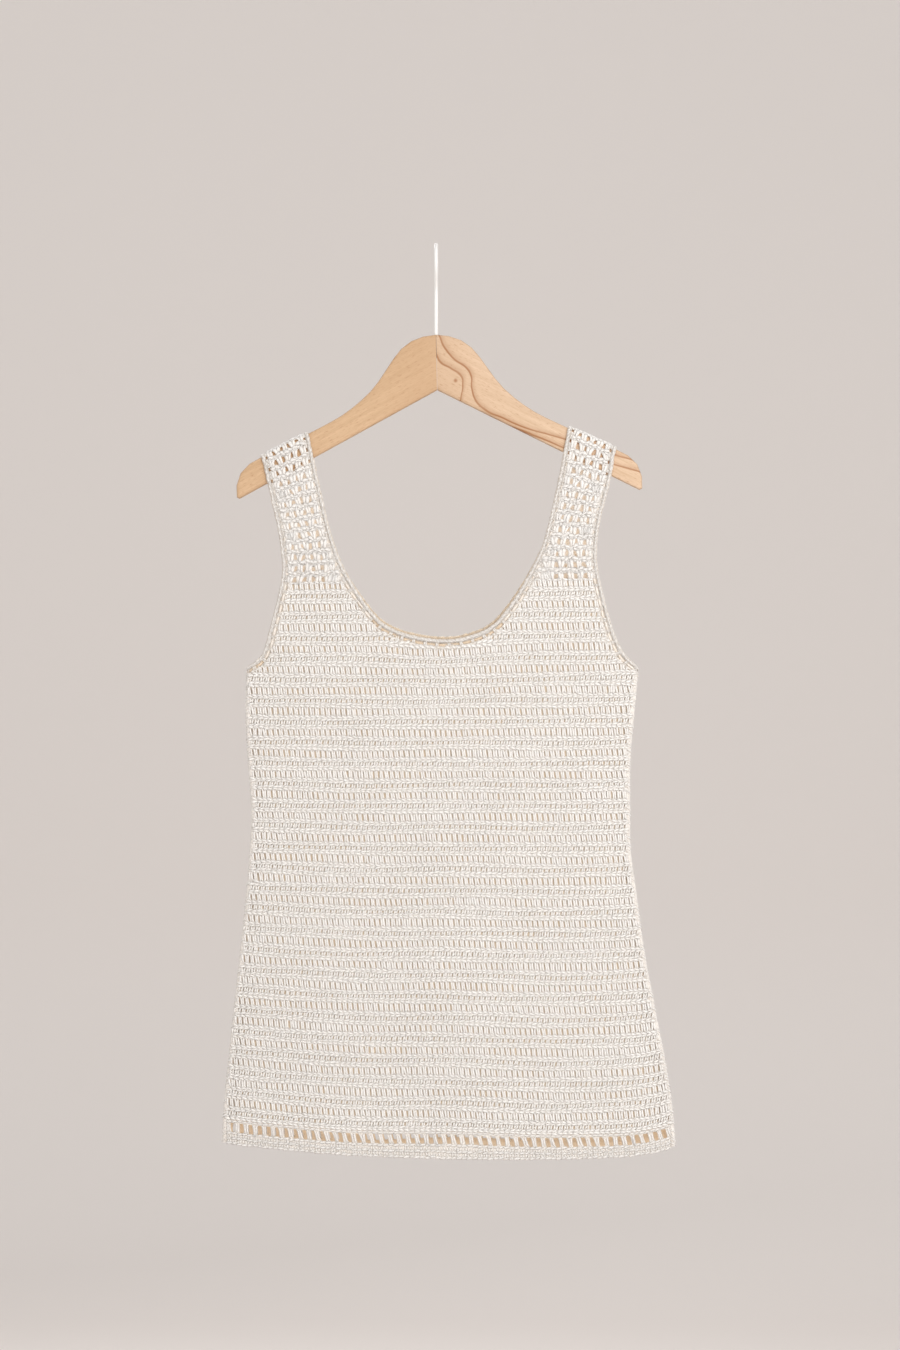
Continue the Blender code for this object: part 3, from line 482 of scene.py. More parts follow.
class HangerFinishSettings(bpy.types.PropertyGroup):
    left_wood: bpy.props.FloatVectorProperty(
        name="Left wood", description="Colour of the left arm's wood",
        default=(0.60, 0.405, 0.247), min=0.0, max=1.0, subtype="COLOR",
    )
    right_wood: bpy.props.FloatVectorProperty(
        name="Right wood", description="Colour of the right arm's wood",
        default=(0.65, 0.468, 0.322), min=0.0, max=1.0, subtype="COLOR",
    )
    grain: bpy.props.FloatVectorProperty(
        name="Growth lines", description="Colour of the wood's brown lines and flecks",
        default=(0.33, 0.14, 0.05), min=0.0, max=1.0, subtype="COLOR",
    )
    coating: bpy.props.FloatVectorProperty(
        name="Coating", description="Colour of the hook's coating",
        default=(0.84, 0.83, 0.81), min=0.0, max=1.0, subtype="COLOR",
    )


class StudioSettings(bpy.types.PropertyGroup):
    backdrop: bpy.props.FloatVectorProperty(
        name="Backdrop", description="Colour of the floor and wall",
        default=(0.84, 0.795, 0.768), min=0.0, max=1.0, subtype="COLOR",
    )
    key_power: bpy.props.FloatProperty(
        name="Key power", description="Power of the soft light on the right",
        default=36.0, min=0.0, unit="POWER",
    )
    fill_power: bpy.props.FloatProperty(
        name="Fill power", description="Power of the soft light on the left",
        default=10.0, min=0.0, unit="POWER",
    )
    back_power: bpy.props.FloatProperty(
        name="Back power", description="Power of the soft light behind the dress",
        default=24.0, min=0.0, unit="POWER",
    )
    surround: bpy.props.FloatProperty(
        name="Surround", description="Strength of the light from all round",
        default=0.72, min=0.0, max=3.0,
    )
    focal_length: bpy.props.FloatProperty(
        name="Focal length", description="The lens; the camera's distance follows it",
        default=85.0, min=35.0, max=200.0, unit="CAMERA",
    )


def stitch_pitch():
    return bpy.context.scene.crochet_yarn.stitch_pitch / MM


def opaque(color):
    return (*color, 1.0)


def toned(color, *factors):
    """The colour times one factor, or one for each of red, green and blue, kept at 1 or less."""
    factors = factors if len(factors) == 3 else factors * 3
    return opaque(min(1.0, c * k) for c, k in zip(color, factors))


def eased(share):
    """A share from 0 to 1 that starts and ends slowly."""
    return share * share * (3 - 2 * share)


def spaced(length, count):
    """Middles of equal parts of a length."""
    return length * (np.arange(count) + 0.5) / count


# ---- the cloth's surface ----


def smooth(rows, column, place):
    """The column's value at places between rows, on a smooth curve through the table."""
    keys = np.array([row[0] for row in rows], float)
    values = np.array([getattr(row, column) for row in rows], float)
    slopes = np.empty(len(rows))
    slopes[1:-1] = (values[2:] - values[:-2]) / (keys[2:] - keys[:-2])
    slopes[0] = (values[1] - values[0]) / (keys[1] - keys[0])
    slopes[-1] = (values[-1] - values[-2]) / (keys[-1] - keys[-2])
    place = np.clip(place, keys[0], keys[-1])
    i = np.clip(np.searchsorted(keys, place) - 1, 0, len(keys) - 2)
    span = keys[i + 1] - keys[i]
    t = (place - keys[i]) / span
    rise = values[i + 1] - values[i]
    start = slopes[i] * span
    end = slopes[i + 1] * span
    return values[i] + t * (start + t * (3 * rise - 2 * start - end + t * (start + end - 2 * rise)))


def side_edge(side, drop):
    return smooth(BODY_ROWS, "left" if side == LEFT else "right", drop)


def fold_out(face, x, drop):
    """How far the folds push the cloth out at a place."""
    out = 0.0
    for fold in FOLDS:
        if fold.face == face:
            growth = np.clip((drop - fold.top_drop) / (HEM_DROP - fold.top_drop), 0.0, 1.0)
            out = out + fold.out * eased(growth) * np.exp(-(((x - fold.x) / fold.half_width) ** 2))
    return out


def cloth_depth(face, x, drop):
    """How far the cloth's outer surface stands from the middle plane."""
    left = side_edge(LEFT, drop) + SEAM_RADIUS
    right = side_edge(RIGHT, drop) - SEAM_RADIUS
    across = (2 * x - left - right) / (right - left)
    fill = np.maximum(1 - across * across, 0.0) ** LENS_POWER
    side_depth = smooth(BODY_ROWS, "side_depth", drop)
    middle_depth = smooth(BODY_ROWS, "middle_depth", drop)
    return side_depth + (middle_depth - side_depth + fold_out(face, x, drop)) * fill


def cloth_points(face, x, z, out):
    """Points over the cloth's surface at x, z, moved out of it."""
    return np.stack([x, face * (cloth_depth(face, x, -z) + out), z], axis=-1)


def cloth_line(face, line):
    """The points of a front-view line, laid on the cloth."""
    return cloth_points(face, np.array([p.x for p in line]), np.array([p.y for p in line]), 0.0).tolist()


def strap_base(x):
    return -STRAP_BASE_DROP - STRAP_BASE_SLOPE * x


def hem_height(face, x):
    return -smooth(HEM_ROWS, "front_drop" if face == FRONT else "back_drop", x)


def border_heights(face, x):
    """Heights of the border's top, the eyelets' top and bottom, and the hem."""
    hem = hem_height(face, x)
    foot = hem + smooth(HEM_ROWS, "band", x)
    head = foot + EYELET_HEIGHT
    return head + BORDER_TOP_STRIP, head, foot, hem


def rippled(ripple, x, row, start=0.0):
    return np.sin(x / ripple.length + ripple.turn * row + start)


def row_wave(face, x, row):
    """Small ups and downs of a crochet row, the same for all its stitches at one place."""
    wave = rippled(ROW_WAVE, x, row, face) + SLOW_WAVE_SHARE * rippled(SLOW_ROW_WAVE, x, row)
    reach = bpy.context.scene.crochet_yarn.row_wave / MM
    return reach * wave * np.clip(np.minimum(row, BODY_ROW_COUNT - row) / WAVE_END_ROWS, 0, 1)


def row_height(face, x, row):
    """Height of a place that lies some rows below the straps' base."""
    top = strap_base(x) - SEAM_GAP / 2
    bottom = border_heights(face, x)[0] + SEAM_GAP
    height = top + (bottom - top) * row / BODY_ROW_COUNT
    under = np.maximum(-height - NECK_SAG_DROP, 0.0)
    fade = np.exp(-under / NECK_SAG_FADE - ((x - NECK_SAG_MIDDLE) / NECK_SAG_HALF_WIDTH) ** 2)
    sag = NECK_SAG * fade * np.clip(under / NECK_SAG_GROWTH, 0, 1)
    return height - sag + row_wave(face, x, row)


# ---- outlines, as Vectors in the front view ----


def line_length(points):
    return sum((b - a).length for a, b in zip(points, points[1:]))


def point_along(points, distance):
    for a, b in zip(points, points[1:]):
        piece = (b - a).length
        if distance <= piece:
            return a.lerp(b, distance / piece)
        distance -= piece
    return points[-1].copy()


def smooth_line(points, step):
    """Evenly spaced points along a Catmull-Rom curve through the given ones."""
    padded = [2 * points[0] - points[1], *points, 2 * points[-1] - points[-2]]
    dense = []
    for i in range(1, len(padded) - 2):
        a, b, c, d = padded[i - 1 : i + 3]
        for k in range(CURVE_PARTS):
            t = k / CURVE_PARTS
            bend = 2 * a - 5 * b + 4 * c - d
            dense.append(0.5 * (2 * b + t * (c - a + t * (bend + t * (3 * b - a - 3 * c + d)))))
    dense.append(points[-1])
    length = line_length(dense)
    count = max(round(length / step), 1)
    return [point_along(dense, length * k / count) for k in range(count + 1)]


def offset_line(points, distance):
    """The points moved sideways, to the left of the line's direction when positive."""
    moved = []
    for i, point in enumerate(points):
        along = points[min(i + 1, len(points) - 1)] - points[max(i - 1, 0)]
        moved.append(point + distance * Vector((-along.y, along.x)).normalized())
    return moved


def hanger_point(reach, fall, side):
    """A point of the tilted hanger's front view, as (x, z)."""
    x = side * reach
    turned_x = x * math.cos(WOOD_TILT) + fall * math.sin(WOOD_TILT)
    turned_z = x * math.sin(WOOD_TILT) - fall * math.cos(WOOD_TILT)
    return Vector((turned_x, turned_z - WOOD_CROWN_DROP))


def wood_top(reach, side):
    return hanger_point(reach, float(smooth(ARM_TOP, "fall", reach)), side)


def along_wood(side):
    return (wood_top(STRAP_ARM_REACH, side) - wood_top(STRAP_NECK_REACH, side)).normalized()


def above_wood(side):
    direction = along_wood(side)
    return Vector((-direction.y, direction.x)) * side


def strap_top(reach, side):
    return wood_top(reach, side) - WOOD_ROUND * above_wood(side)


def neck_edge(face):
    column = "front_drop" if face == FRONT else "back_drop"
    points = [Vector((p.x, -getattr(p, column))) for p in NECK_LINE]
    points.insert(0, strap_top(STRAP_NECK_REACH, LEFT))
    points.append(strap_top(STRAP_NECK_REACH, RIGHT))
    return smooth_line(points, CURVE_STEP)


def armhole_edge(side):
    points = [Vector((p.x, -p.drop)) for p in ARMHOLE_LINES[side]]
    points.insert(0, strap_top(STRAP_ARM_REACH, side))
    return smooth_line(points, CURVE_STEP)


def inner_neck(face, distance):
    edge = neck_edge(face)
    moved = offset_line(edge, -distance)
    moved[0] = edge[0] + distance * along_wood(LEFT)
    moved[-1] = edge[-1] + distance * along_wood(RIGHT)
    return moved


def inner_armhole(side, distance):
    edge = armhole_edge(side)
    moved = offset_line(edge, -side * distance)
    moved[0] = edge[0] - distance * along_wood(side)
    moved[-1] = edge[-1] - Vector((0, distance))
    return moved


def over_wood(face, point, side):
    """Points that carry an edge from the strap's middle, on top of the arm, to the arm's flat face."""
    reach = WOOD_ROUND + SEAM_GAP + WALL
    flat = WOOD_THICKNESS / 2 - WOOD_ROUND
    lifted = [(0.0, reach), (flat, reach)]
    for turn in ROUND_TURNS:
        angle = turn * math.pi / 2
        lifted.append((flat + reach * math.sin(angle), reach * math.cos(angle)))
    carried = []
    for depth, height in lifted:
        place = point + height * above_wood(side)
        carried.append((place.x, face * depth, place.y))
    return carried


def cut_at_base(line):
    """The part of an edge line above the strap's base, ending on it."""
    kept = []
    for a, b in zip(line, line[1:]):
        kept.append(a)
        over_a = a.y - strap_base(a.x)
        over_b = b.y - strap_base(b.x)
        if over_b <= 0:
            kept.append(a.lerp(b, over_a / (over_a - over_b)))
            return kept
    raise ValueError("the edge never reaches the strap's base")


def inside(outline, x, z):
    """Which of the points lie inside a closed outline of (x, z) corners."""
    hit = np.zeros(x.shape, bool)
    for a, b in zip(outline, outline[1:] + outline[:1]):
        if a.y == b.y:
            continue
        crosses = (a.y > z) != (b.y > z)
        hit ^= crosses & (x < (b.x - a.x) * (z - a.y) / (b.y - a.y) + a.x)
    return hit


def neck_outline(face, distance):
    line = inner_neck(face, distance)
    lift = Vector((0, CUT_REACH))
    return [line[0] + lift, *line, line[-1] + lift]


def armhole_outline(side, distance):
    line = inner_armhole(side, distance)
    far = Vector((side * CUT_REACH, 0))
    return [*line, line[-1] + far, line[0] + 2 * far]


# ---- bands: strips of cloth between two long edges ----


class Band:
    """A strip between two edges, with the way out of it, measured along its middle."""

    def __init__(self, near, far):
        self.near = np.array(near, float)
        wide = np.array(far, float) - self.near
        middle = self.near + wide / 2
        steps = np.linalg.norm(np.diff(middle, axis=0), axis=1)
        self.places = np.concatenate([[0.0], np.cumsum(steps)])
        self.width = np.linalg.norm(wide, axis=1)
        self.across = wide / self.width[:, None]
        along = np.gradient(middle, axis=0)
        out = np.cross(along, self.across)
        out /= np.linalg.norm(out, axis=1)[:, None]
        foremost = np.argmin(middle[:, 1])
        self.out = out * (1 if out[foremost, 1] < 0 else -1)

    @property
    def length(self):
        return self.places[-1]

    def at(self, values, place):
        return np.stack([np.interp(place, self.places, column) for column in values.T], axis=-1)

    def width_at(self, place):
        return np.interp(place, self.places, self.width)

    def points(self, place, inward, out):
        """Points at distances along the band, in from its near edge, and out of it."""
        across = self.at(self.across, place) * inward[..., None]
        return self.at(self.near, place) + across + self.at(self.out, place) * out[..., None]


def uneven(band, place, inward):
    """Places on a strap, moved as the pull of the hanging dress moves its meshes."""
    widths = band.width_at(place)
    ease = np.clip(np.minimum(inward, widths - inward) / PULL_SIDE_FADE, 0, 1)
    ease = ease * np.clip(np.minimum(place, band.length - place) / PULL_END_FADE, 0, 1)
    along, across = (
        sum(p.size * np.sin(p.along * place + p.across * inward + p.start) for p in pulls)
        for pulls in (PULLS_ALONG, PULLS_ACROSS)
    )
    return place + ease * along, inward + ease * across


def strap_bands(side):
    """The strap as one band from its front base, over the arm, to its back base.

    Its near edge is the armhole's.
    """
    inset = EDGING_WIDTH + SEAM_GAP
    arm_side = []
    neck_side = []
    for face in (FRONT, BACK):
        neck = inner_neck(face, inset)
        if side == RIGHT:
            neck = neck[::-1]
        neck = cut_at_base(neck)
        arm = cut_at_base(inner_armhole(side, inset))
        count = 2 * STRAP_GAP_ROWS
        lines = []
        for line in (arm, neck):
            flat = [point_along(line, line_length(line) * k / count) for k in range(count + 1)]
            lines.append(over_wood(face, line[0], side) + cloth_line(face, flat))
        if face == FRONT:
            arm_side = lines[0][::-1]
            neck_side = lines[1][::-1]
        else:
            arm_side += lines[0][1:]
            neck_side += lines[1][1:]
    return Band(arm_side, neck_side)


def neck_band():
    """The neck edging as a ring: front left shoulder to right, over the arm, and back along the back."""
    near = []
    far = []
    for face, first, last in ((FRONT, LEFT, RIGHT), (BACK, RIGHT, LEFT)):
        edge = neck_edge(face)
        inner = inner_neck(face, EDGING_WIDTH)
        if face == BACK:
            edge = edge[::-1]
            inner = inner[::-1]
        for line, kept in ((edge, near), (inner, far)):
            kept += over_wood(face, line[0], first)[bool(kept) :]
            kept += cloth_line(face, line)
            kept += over_wood(face, line[-1], last)[::-1]
    return Band(near, far)


def armhole_band(side):
    """The armhole edging as a ring: shoulder, down the front, underarm, and up the back."""
    edge = armhole_edge(side)
    inner = inner_armhole(side, EDGING_WIDTH)
    drop = UNDERARM_DROPS[side]
    tip_x = float(side_edge(side, drop))
    rings = []
    for line, low in ((edge, 0.0), (inner, EDGING_WIDTH)):
        down = over_wood(FRONT, line[0], side) + cloth_line(FRONT, line)
        up = cloth_line(BACK, line[::-1]) + over_wood(BACK, line[0], side)[::-1]
        last_x, last_z = line[-1]
        turn = []
        for angle in UNDERARM_TURNS:
            share = math.cos(math.radians(angle))
            place_x = last_x + (tip_x - last_x) * share
            place_z = last_z + (-drop - low - last_z) * share
            turn.append((place_x, SEAM_RADIUS * math.sin(math.radians(angle)), place_z))
        rings.append(down + turn + up)
    return Band(rings[0], rings[1])


# ---- yarn ----


def tube(strand, sides, flatness):
    """Points, quads and UVs of a closed tube along a strand, with a ridge turned outwards."""
    stations = np.array(strand, float)
    line = stations[:, :3]
    along = np.gradient(line, axis=0)
    along /= np.linalg.norm(along, axis=1)[:, None]
    sideways = np.cross(along, (0.0, 0.0, 1.0))
    sideways /= np.linalg.norm(sideways, axis=1)[:, None]
    lift = np.cross(sideways, along)
    angles = 2 * math.pi * np.arange(sides) / sides
    ring = flatness * np.cos(angles)[None, :, None] * lift[:, None]
    ring = ring + np.sin(angles)[None, :, None] * sideways[:, None]
    points = (line[:, None] + stations[:, 3, None, None] * ring).reshape(-1, 3)
    lengths = np.concatenate([[0.0], np.cumsum(np.linalg.norm(np.diff(line, axis=0), axis=1))])
    quads = []
    uvs = []
    count = len(line)
    for k in range(count - 1):
        for j in range(sides):
            m = (j + 1) % sides
            quads.append((k * sides + j, k * sides + m, (k + 1) * sides + m, (k + 1) * sides + j))
            low, high = j / sides, (j + 1) / sides
            uvs.append(((lengths[k], low), (lengths[k], high), (lengths[k + 1], high), (lengths[k + 1], low)))
    for k, turn in ((0, -1), (count - 1, 1)):
        cap = [k * sides + j for j in range(sides)][::turn]
        for j in range(1, sides - 1, 2):
            quads.append((cap[0], cap[j], cap[j + 1], cap[(j + 2) % sides] if j + 2 <= sides - 1 else cap[0]))
            uvs.append(((lengths[k], 0.5),) * 4)
    return points, np.array(quads), np.array(uvs)


class YarnMesh:
    """Gathers many strands of yarn and makes them one mesh."""

    def __init__(self, tone):
        self.tone = tone
        self.points = []
        self.quads = []
        self.uvs = []
        self.hollows = []
        self.count = 0

    def strands(self, strand, copies, rng, unevenness=1.0, sides=TUBE_SIDES):
        """The tube of a strand, and its points for each of the copies."""
        shape = tube(strand, sides, self.tone.flatness)
        return shape, jittered(shape[0], copies, rng, unevenness)

    def add(self, placed, shape, out):
        """placed holds the tube's points for each copy, and out their distances out of the cloth."""
        _, quads, uvs = shape
        copies, size = placed.shape[:2]
        starts = self.count + size * np.arange(copies)
        self.points.append(placed.reshape(-1, 3))
        self.quads.append((quads[None] + starts[:, None, None]).reshape(-1, 4))
        shifts = np.modf(np.arange(copies) * PLY_STEP)[0] * PLY_REACH
        moved = np.broadcast_to(uvs, (copies,) + uvs.shape).copy()
        moved[..., 0] += shifts[:, None, None]
        self.uvs.append(moved.reshape(-1, 2))
        # How much shade is painted on each point: none above the crown, the full colour at the tone's depth
        # under it; deeper marks also give a painted glow
        depth = (self.tone.crown - out) / self.tone.warm_depth
        self.hollows.append(np.clip(depth, 0, INSIDE).reshape(-1))
        self.count += copies * size

    def build(self, name, material):
        points = np.concatenate(self.points)
        quads = np.concatenate(self.quads)
        uvs = np.concatenate(self.uvs).reshape(-1, 4, 2)
        corners = points[quads]
        volume = (np.cross(corners[:, 0], corners[:, 1]) * corners[:, 2]).sum()
        volume += (np.cross(corners[:, 0], corners[:, 2]) * corners[:, 3]).sum()
        if volume < 0:
            quads = quads[:, ::-1]
            uvs = uvs[:, ::-1]
        mesh = bpy.data.meshes.new(name)
        mesh.vertices.add(len(points))
        mesh.vertices.foreach_set("co", (points * MM).astype(np.float32).ravel())
        mesh.loops.add(quads.size)
        mesh.loops.foreach_set("vertex_index", quads.astype(np.int32).ravel())
        mesh.polygons.add(len(quads))
        mesh.polygons.foreach_set("loop_start", np.arange(0, quads.size, 4, dtype=np.int32))
        layer = mesh.uv_layers.new(name="along_yarn")
        layer.data.foreach_set("uv", uvs.astype(np.float32).ravel())
        mesh.update(calc_edges=True)
        mesh.validate()
        mesh.shade_smooth()
        mesh.materials.append(material)
        obj = add_object(name, mesh)
        note_shade_marks(obj, np.concatenate(self.hollows))
        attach(obj, "root")
        return obj


def jittered(points, copies, rng, unevenness):
    """Copies of a strand's points, each a little moved and leaned, as hand work is."""
    amount = unevenness * bpy.context.scene.crochet_yarn.unevenness
    across = points[:, 0] + rng.normal(0, STRAY_ACROSS * amount, (copies, 1))
    down = points[:, 1] + rng.normal(0, STRAY_DOWN * amount, (copies, 1))
    middle = points[:, 1].mean()
    across = across + rng.normal(0, STRAY_LEAN * amount, (copies, 1)) * (points[:, 1] - middle)
    out = points[:, 2] + rng.normal(0, STRAY_OUT * amount, (copies, 1))
    return np.stack([across, down, out], axis=-1)


def add_object(name, data):
    obj = bpy.data.objects.new(name, data)
    bpy.context.scene.collection.objects.link(obj)
    return obj


def select_alone(obj):
    bpy.ops.object.select_all(action="DESELECT")
    obj.select_set(True)
    bpy.context.view_layer.objects.active = obj


def own_object(name, shape):
    """A new object at the origin from a finished bmesh in millimetres."""
    mesh = bpy.data.meshes.new(name)
    bmesh.ops.scale(shape, vec=(MM, MM, MM), verts=shape.verts)
    shape.to_mesh(mesh)
    shape.free()
    return add_object(name, mesh)


def apply_modifiers(obj):
    select_alone(obj)
    for modifier in list(obj.modifiers):
        bpy.ops.object.modifier_apply(modifier=modifier.name)


def ground_sheet(name, rows, skipped=()):
    """A thin cloth through rows of (n, 3) points on its outer side, grown inwards."""
    sheet = bmesh.new()
    grid = [[sheet.verts.new(point) for point in row] for row in rows]
    for r in range(len(grid) - 1):
        for c in range(len(grid[r]) - 1):
            if (r, c) not in skipped:
                sheet.faces.new((grid[r][c], grid[r + 1][c], grid[r + 1][c + 1], grid[r][c + 1]))
    loose = [vert for vert in sheet.verts if not vert.link_faces]
    bmesh.ops.delete(sheet, geom=loose, context="VERTS")
    obj = own_object(name, sheet)
    outer_count = len(obj.data.vertices)
    solid = obj.modifiers.new("wall", "SOLIDIFY")
    solid.thickness = GROUND_WALL * MM
    solid.offset = -1.0
    solid.use_even_offset = True
    apply_modifiers(obj)
    inner = np.arange(len(obj.data.vertices)) >= outer_count
    # The cloth's inner side takes the full painted shade and glow, its outer side a little painted shade
    note_shade_marks(obj, np.where(inner, INSIDE, OPEN_GROUND_SHADE))
    return obj


def note_shade_marks(obj, hollows):
    """Keeps how far into the cloth each point lies, which sets the shade painted on the cotton there.

    INSIDE is the cloth's inner side.
    """
    layer = obj.data.attributes.get("hollow") or obj.data.attributes.new("hollow", "FLOAT", "POINT")
    layer.data.foreach_set("value", hollows.astype(np.float32))


def finish_ground(obj, material, nodes):
    """Gives a ground sheet of cloth its cotton and smooth shading, hangs it on the root body and hides the
    model's pieces that it replaces.
    """
    obj.data.materials.clear()
    obj.data.materials.append(material)
    obj.data.shade_smooth()
    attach(obj, "root")
    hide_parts(*nodes)


def cut_with_outline(obj, outline):
    """Cuts a prism along Y, whose front view is the outline, out of the object."""
    prism = bmesh.new()
    face = prism.faces.new([prism.verts.new((p.x, -CUT_REACH, p.y)) for p in outline])
    extruded = bmesh.ops.extrude_face_region(prism, geom=[face])
    moved = [item for item in extruded["geom"] if isinstance(item, bmesh.types.BMVert)]
    bmesh.ops.translate(prism, verts=moved, vec=(0, 2 * CUT_REACH, 0))
    bmesh.ops.recalc_face_normals(prism, faces=prism.faces)
    cutter = own_object("cutter", prism)
    cut = obj.modifiers.new("cut", "BOOLEAN")
    cut.operation = "DIFFERENCE"
    cut.solver = "EXACT"
    cut.object = cutter
    apply_modifiers(obj)
    bpy.data.objects.remove(cutter)


# ---- materials ----


def new_material(name):
    material = bpy.data.materials.new(name)
    material.use_nodes = True
    return material, material.node_tree, material.node_tree.nodes["Principled BSDF"]


def set_inputs(node, **inputs):
    for name, value in inputs.items():
        node.inputs[name.replace("_", " ")].default_value = value


def add_node(tree, kind, **inputs):
    node = tree.nodes.new(kind)
    set_inputs(node, **inputs)
    return node


def object_places(tree):
    return tree.nodes.new("ShaderNodeTexCoord").outputs["Object"]


def add_noise(tree, places, **inputs):
    """The factor of a noise over the places."""
    noise = add_node(tree, "ShaderNodeTexNoise", **inputs)
    tree.links.new(places, noise.inputs["Vector"])
    return noise.outputs["Fac"]


def add_bump(tree, height, under=None, invert=False, **inputs):
    """Normals bumped by the height, over those of another bump when it is given."""
    bump = add_node(tree, "ShaderNodeBump", **inputs)
    bump.invert = invert
    tree.links.new(height, bump.inputs["Height"])
    if under:
        tree.links.new(under, bump.inputs["Normal"])
    return bump.outputs["Normal"]


def mix_colors(tree, factor, first, second):
    """A Mix node between two colours or colour sockets."""
    mix = tree.nodes.new("ShaderNodeMix")
    mix.data_type = "RGBA"
    for socket, value in ((mix.inputs[0], factor), (mix.inputs[6], first), (mix.inputs[7], second)):
        if isinstance(value, bpy.types.NodeSocket):
            tree.links.new(value, socket)
        else:
            socket.default_value = value
    return mix.outputs[2]


def cotton_material(name, color, painted_shade_color, twisted, glow_from):
    """Matt cotton: two plies twisted round the yarn, stray fibres, and a warmer painted shade deep between
    the strands.

    Points whose mark is over glow_from also glow, a painted glow that stands in for the daylight that falls
    through.
    """
    material, tree, shader = new_material(name)
    links = tree.links
    places = object_places(tree)
    blotch = add_noise(tree, places, Scale=28.0, Detail=3.0)
    base = mix_colors(tree, blotch, toned(color[:3], DULL_COTTON), toned(color[:3], PALE_COTTON))
    # Painted shade: the colour is mixed towards the painted shade colour the deeper a point lies
    hollow = tree.nodes.new("ShaderNodeAttribute")
    hollow.attribute_name = "hollow"
    links.new(mix_colors(tree, hollow.outputs["Fac"], base, painted_shade_color), shader.inputs["Base Color"])
    # Painted glow: deeper points glow, standing in for daylight through the cloth
    through = bpy.context.scene.crochet_yarn.through
    glow = ranged(tree, hollow.outputs["Fac"], glow_from, INSIDE, 0.0, through)
    links.new(glow, shader.inputs["Emission Strength"])
    fibre = add_noise(tree, places, Scale=2600.0, Detail=2.0, Roughness=0.7)
    normal = add_bump(tree, fibre, Strength=0.25, Distance=0.0002)
    if twisted:
        along = tree.nodes.new("ShaderNodeUVMap")
        along.uv_map = "along_yarn"
        turned = add_node(tree, "ShaderNodeMapping", Scale=PLY_STRETCH)
        links.new(along.outputs["UV"], turned.inputs["Vector"])
        ply = add_node(tree, "ShaderNodeTexWave", Scale=0.62832, Distortion=0.0)
        ply.bands_direction = "DIAGONAL"
        links.new(turned.outputs["Vector"], ply.inputs["Vector"])
        normal = add_bump(tree, ply.outputs["Fac"], normal, Strength=0.45, Distance=0.0004)
    else:
        knots = add_node(tree, "ShaderNodeTexVoronoi", Scale=190.0, Randomness=0.6)
        links.new(places, knots.inputs["Vector"])
        normal = add_bump(tree, knots.outputs["Distance"], normal, True, Strength=0.8, Distance=0.0012)
    links.new(normal, shader.inputs["Normal"])
    set_inputs(
        shader,
        Emission_Color=opaque(GLOW_GAIN * c**GLOW_DEPTH for c in painted_shade_color[:3]),
        Roughness=0.82,
        Sheen_Weight=0.7,
        Sheen_Roughness=0.5,
        Specular_IOR_Level=0.3,
        Subsurface_Weight=0.5,
        Subsurface_Radius=(0.003, 0.003, 0.003),
        Subsurface_Scale=1.0,
    )
    return material


def link_value(tree, kind, *sources, **settings):
    """A Math or Vector Math node of the kind over numbers, vectors or sockets."""
    vector = settings.pop("vector", False)
    node = tree.nodes.new("ShaderNodeVectorMath" if vector else "ShaderNodeMath")
    node.operation = kind
    for socket, source in zip(node.inputs, sources):
        if isinstance(source, bpy.types.NodeSocket):
            tree.links.new(source, socket)
        else:
            socket.default_value = source
    return node.outputs["Value"] if kind == "DOT_PRODUCT" or not vector else node.outputs["Vector"]


def ranged(tree, source, low, high, low_value=0.0, high_value=1.0):
    """The source's value, carried from one range into another."""
    node = add_node(
        tree, "ShaderNodeMapRange", From_Min=low, From_Max=high, To_Min=low_value, To_Max=high_value
    )
    tree.links.new(source, node.inputs["Value"])
    return node.outputs["Result"]


def growth_line(tree, along, across, points):
    """A factor of 1 on the brown line through the points, which fades slowly on one side."""
    curve = tree.nodes.new("ShaderNodeFloatCurve")
    line = curve.mapping.curves[0]
    places = [((a - LINE_START) / LINE_LENGTH, (b - LINE_LOW) / LINE_DEPTH) for a, b in points]
    line.points[0].location = places[0]
    line.points[-1].location = places[-1]
    for place in places[1:-1]:
        line.points.new(*place)
    curve.mapping.update()
    place = ranged(tree, along, LINE_START * MM, (LINE_START + LINE_LENGTH) * MM)
    tree.links.new(place, curve.inputs["Value"])
    height = ranged(tree, curve.outputs["Value"], 0.0, 1.0, LINE_LOW * MM, (LINE_LOW + LINE_DEPTH) * MM)
    offset = link_value(tree, "SUBTRACT", across, height)
    ramp = tree.nodes.new("ShaderNodeValToRGB")
    ramp.color_ramp.elements.remove(ramp.color_ramp.elements[1])
    ramp.color_ramp.elements[0].position = 0.0
    ramp.color_ramp.elements[0].color = (0, 0, 0, 1)
    for position, value in LINE_TONES:
        ramp.color_ramp.elements.new(position).color = (value, value, value, 1)
    tree.links.new(ranged(tree, offset, LINE_BELOW, LINE_ABOVE), ramp.inputs["Fac"])
    return ramp.outputs["Color"]


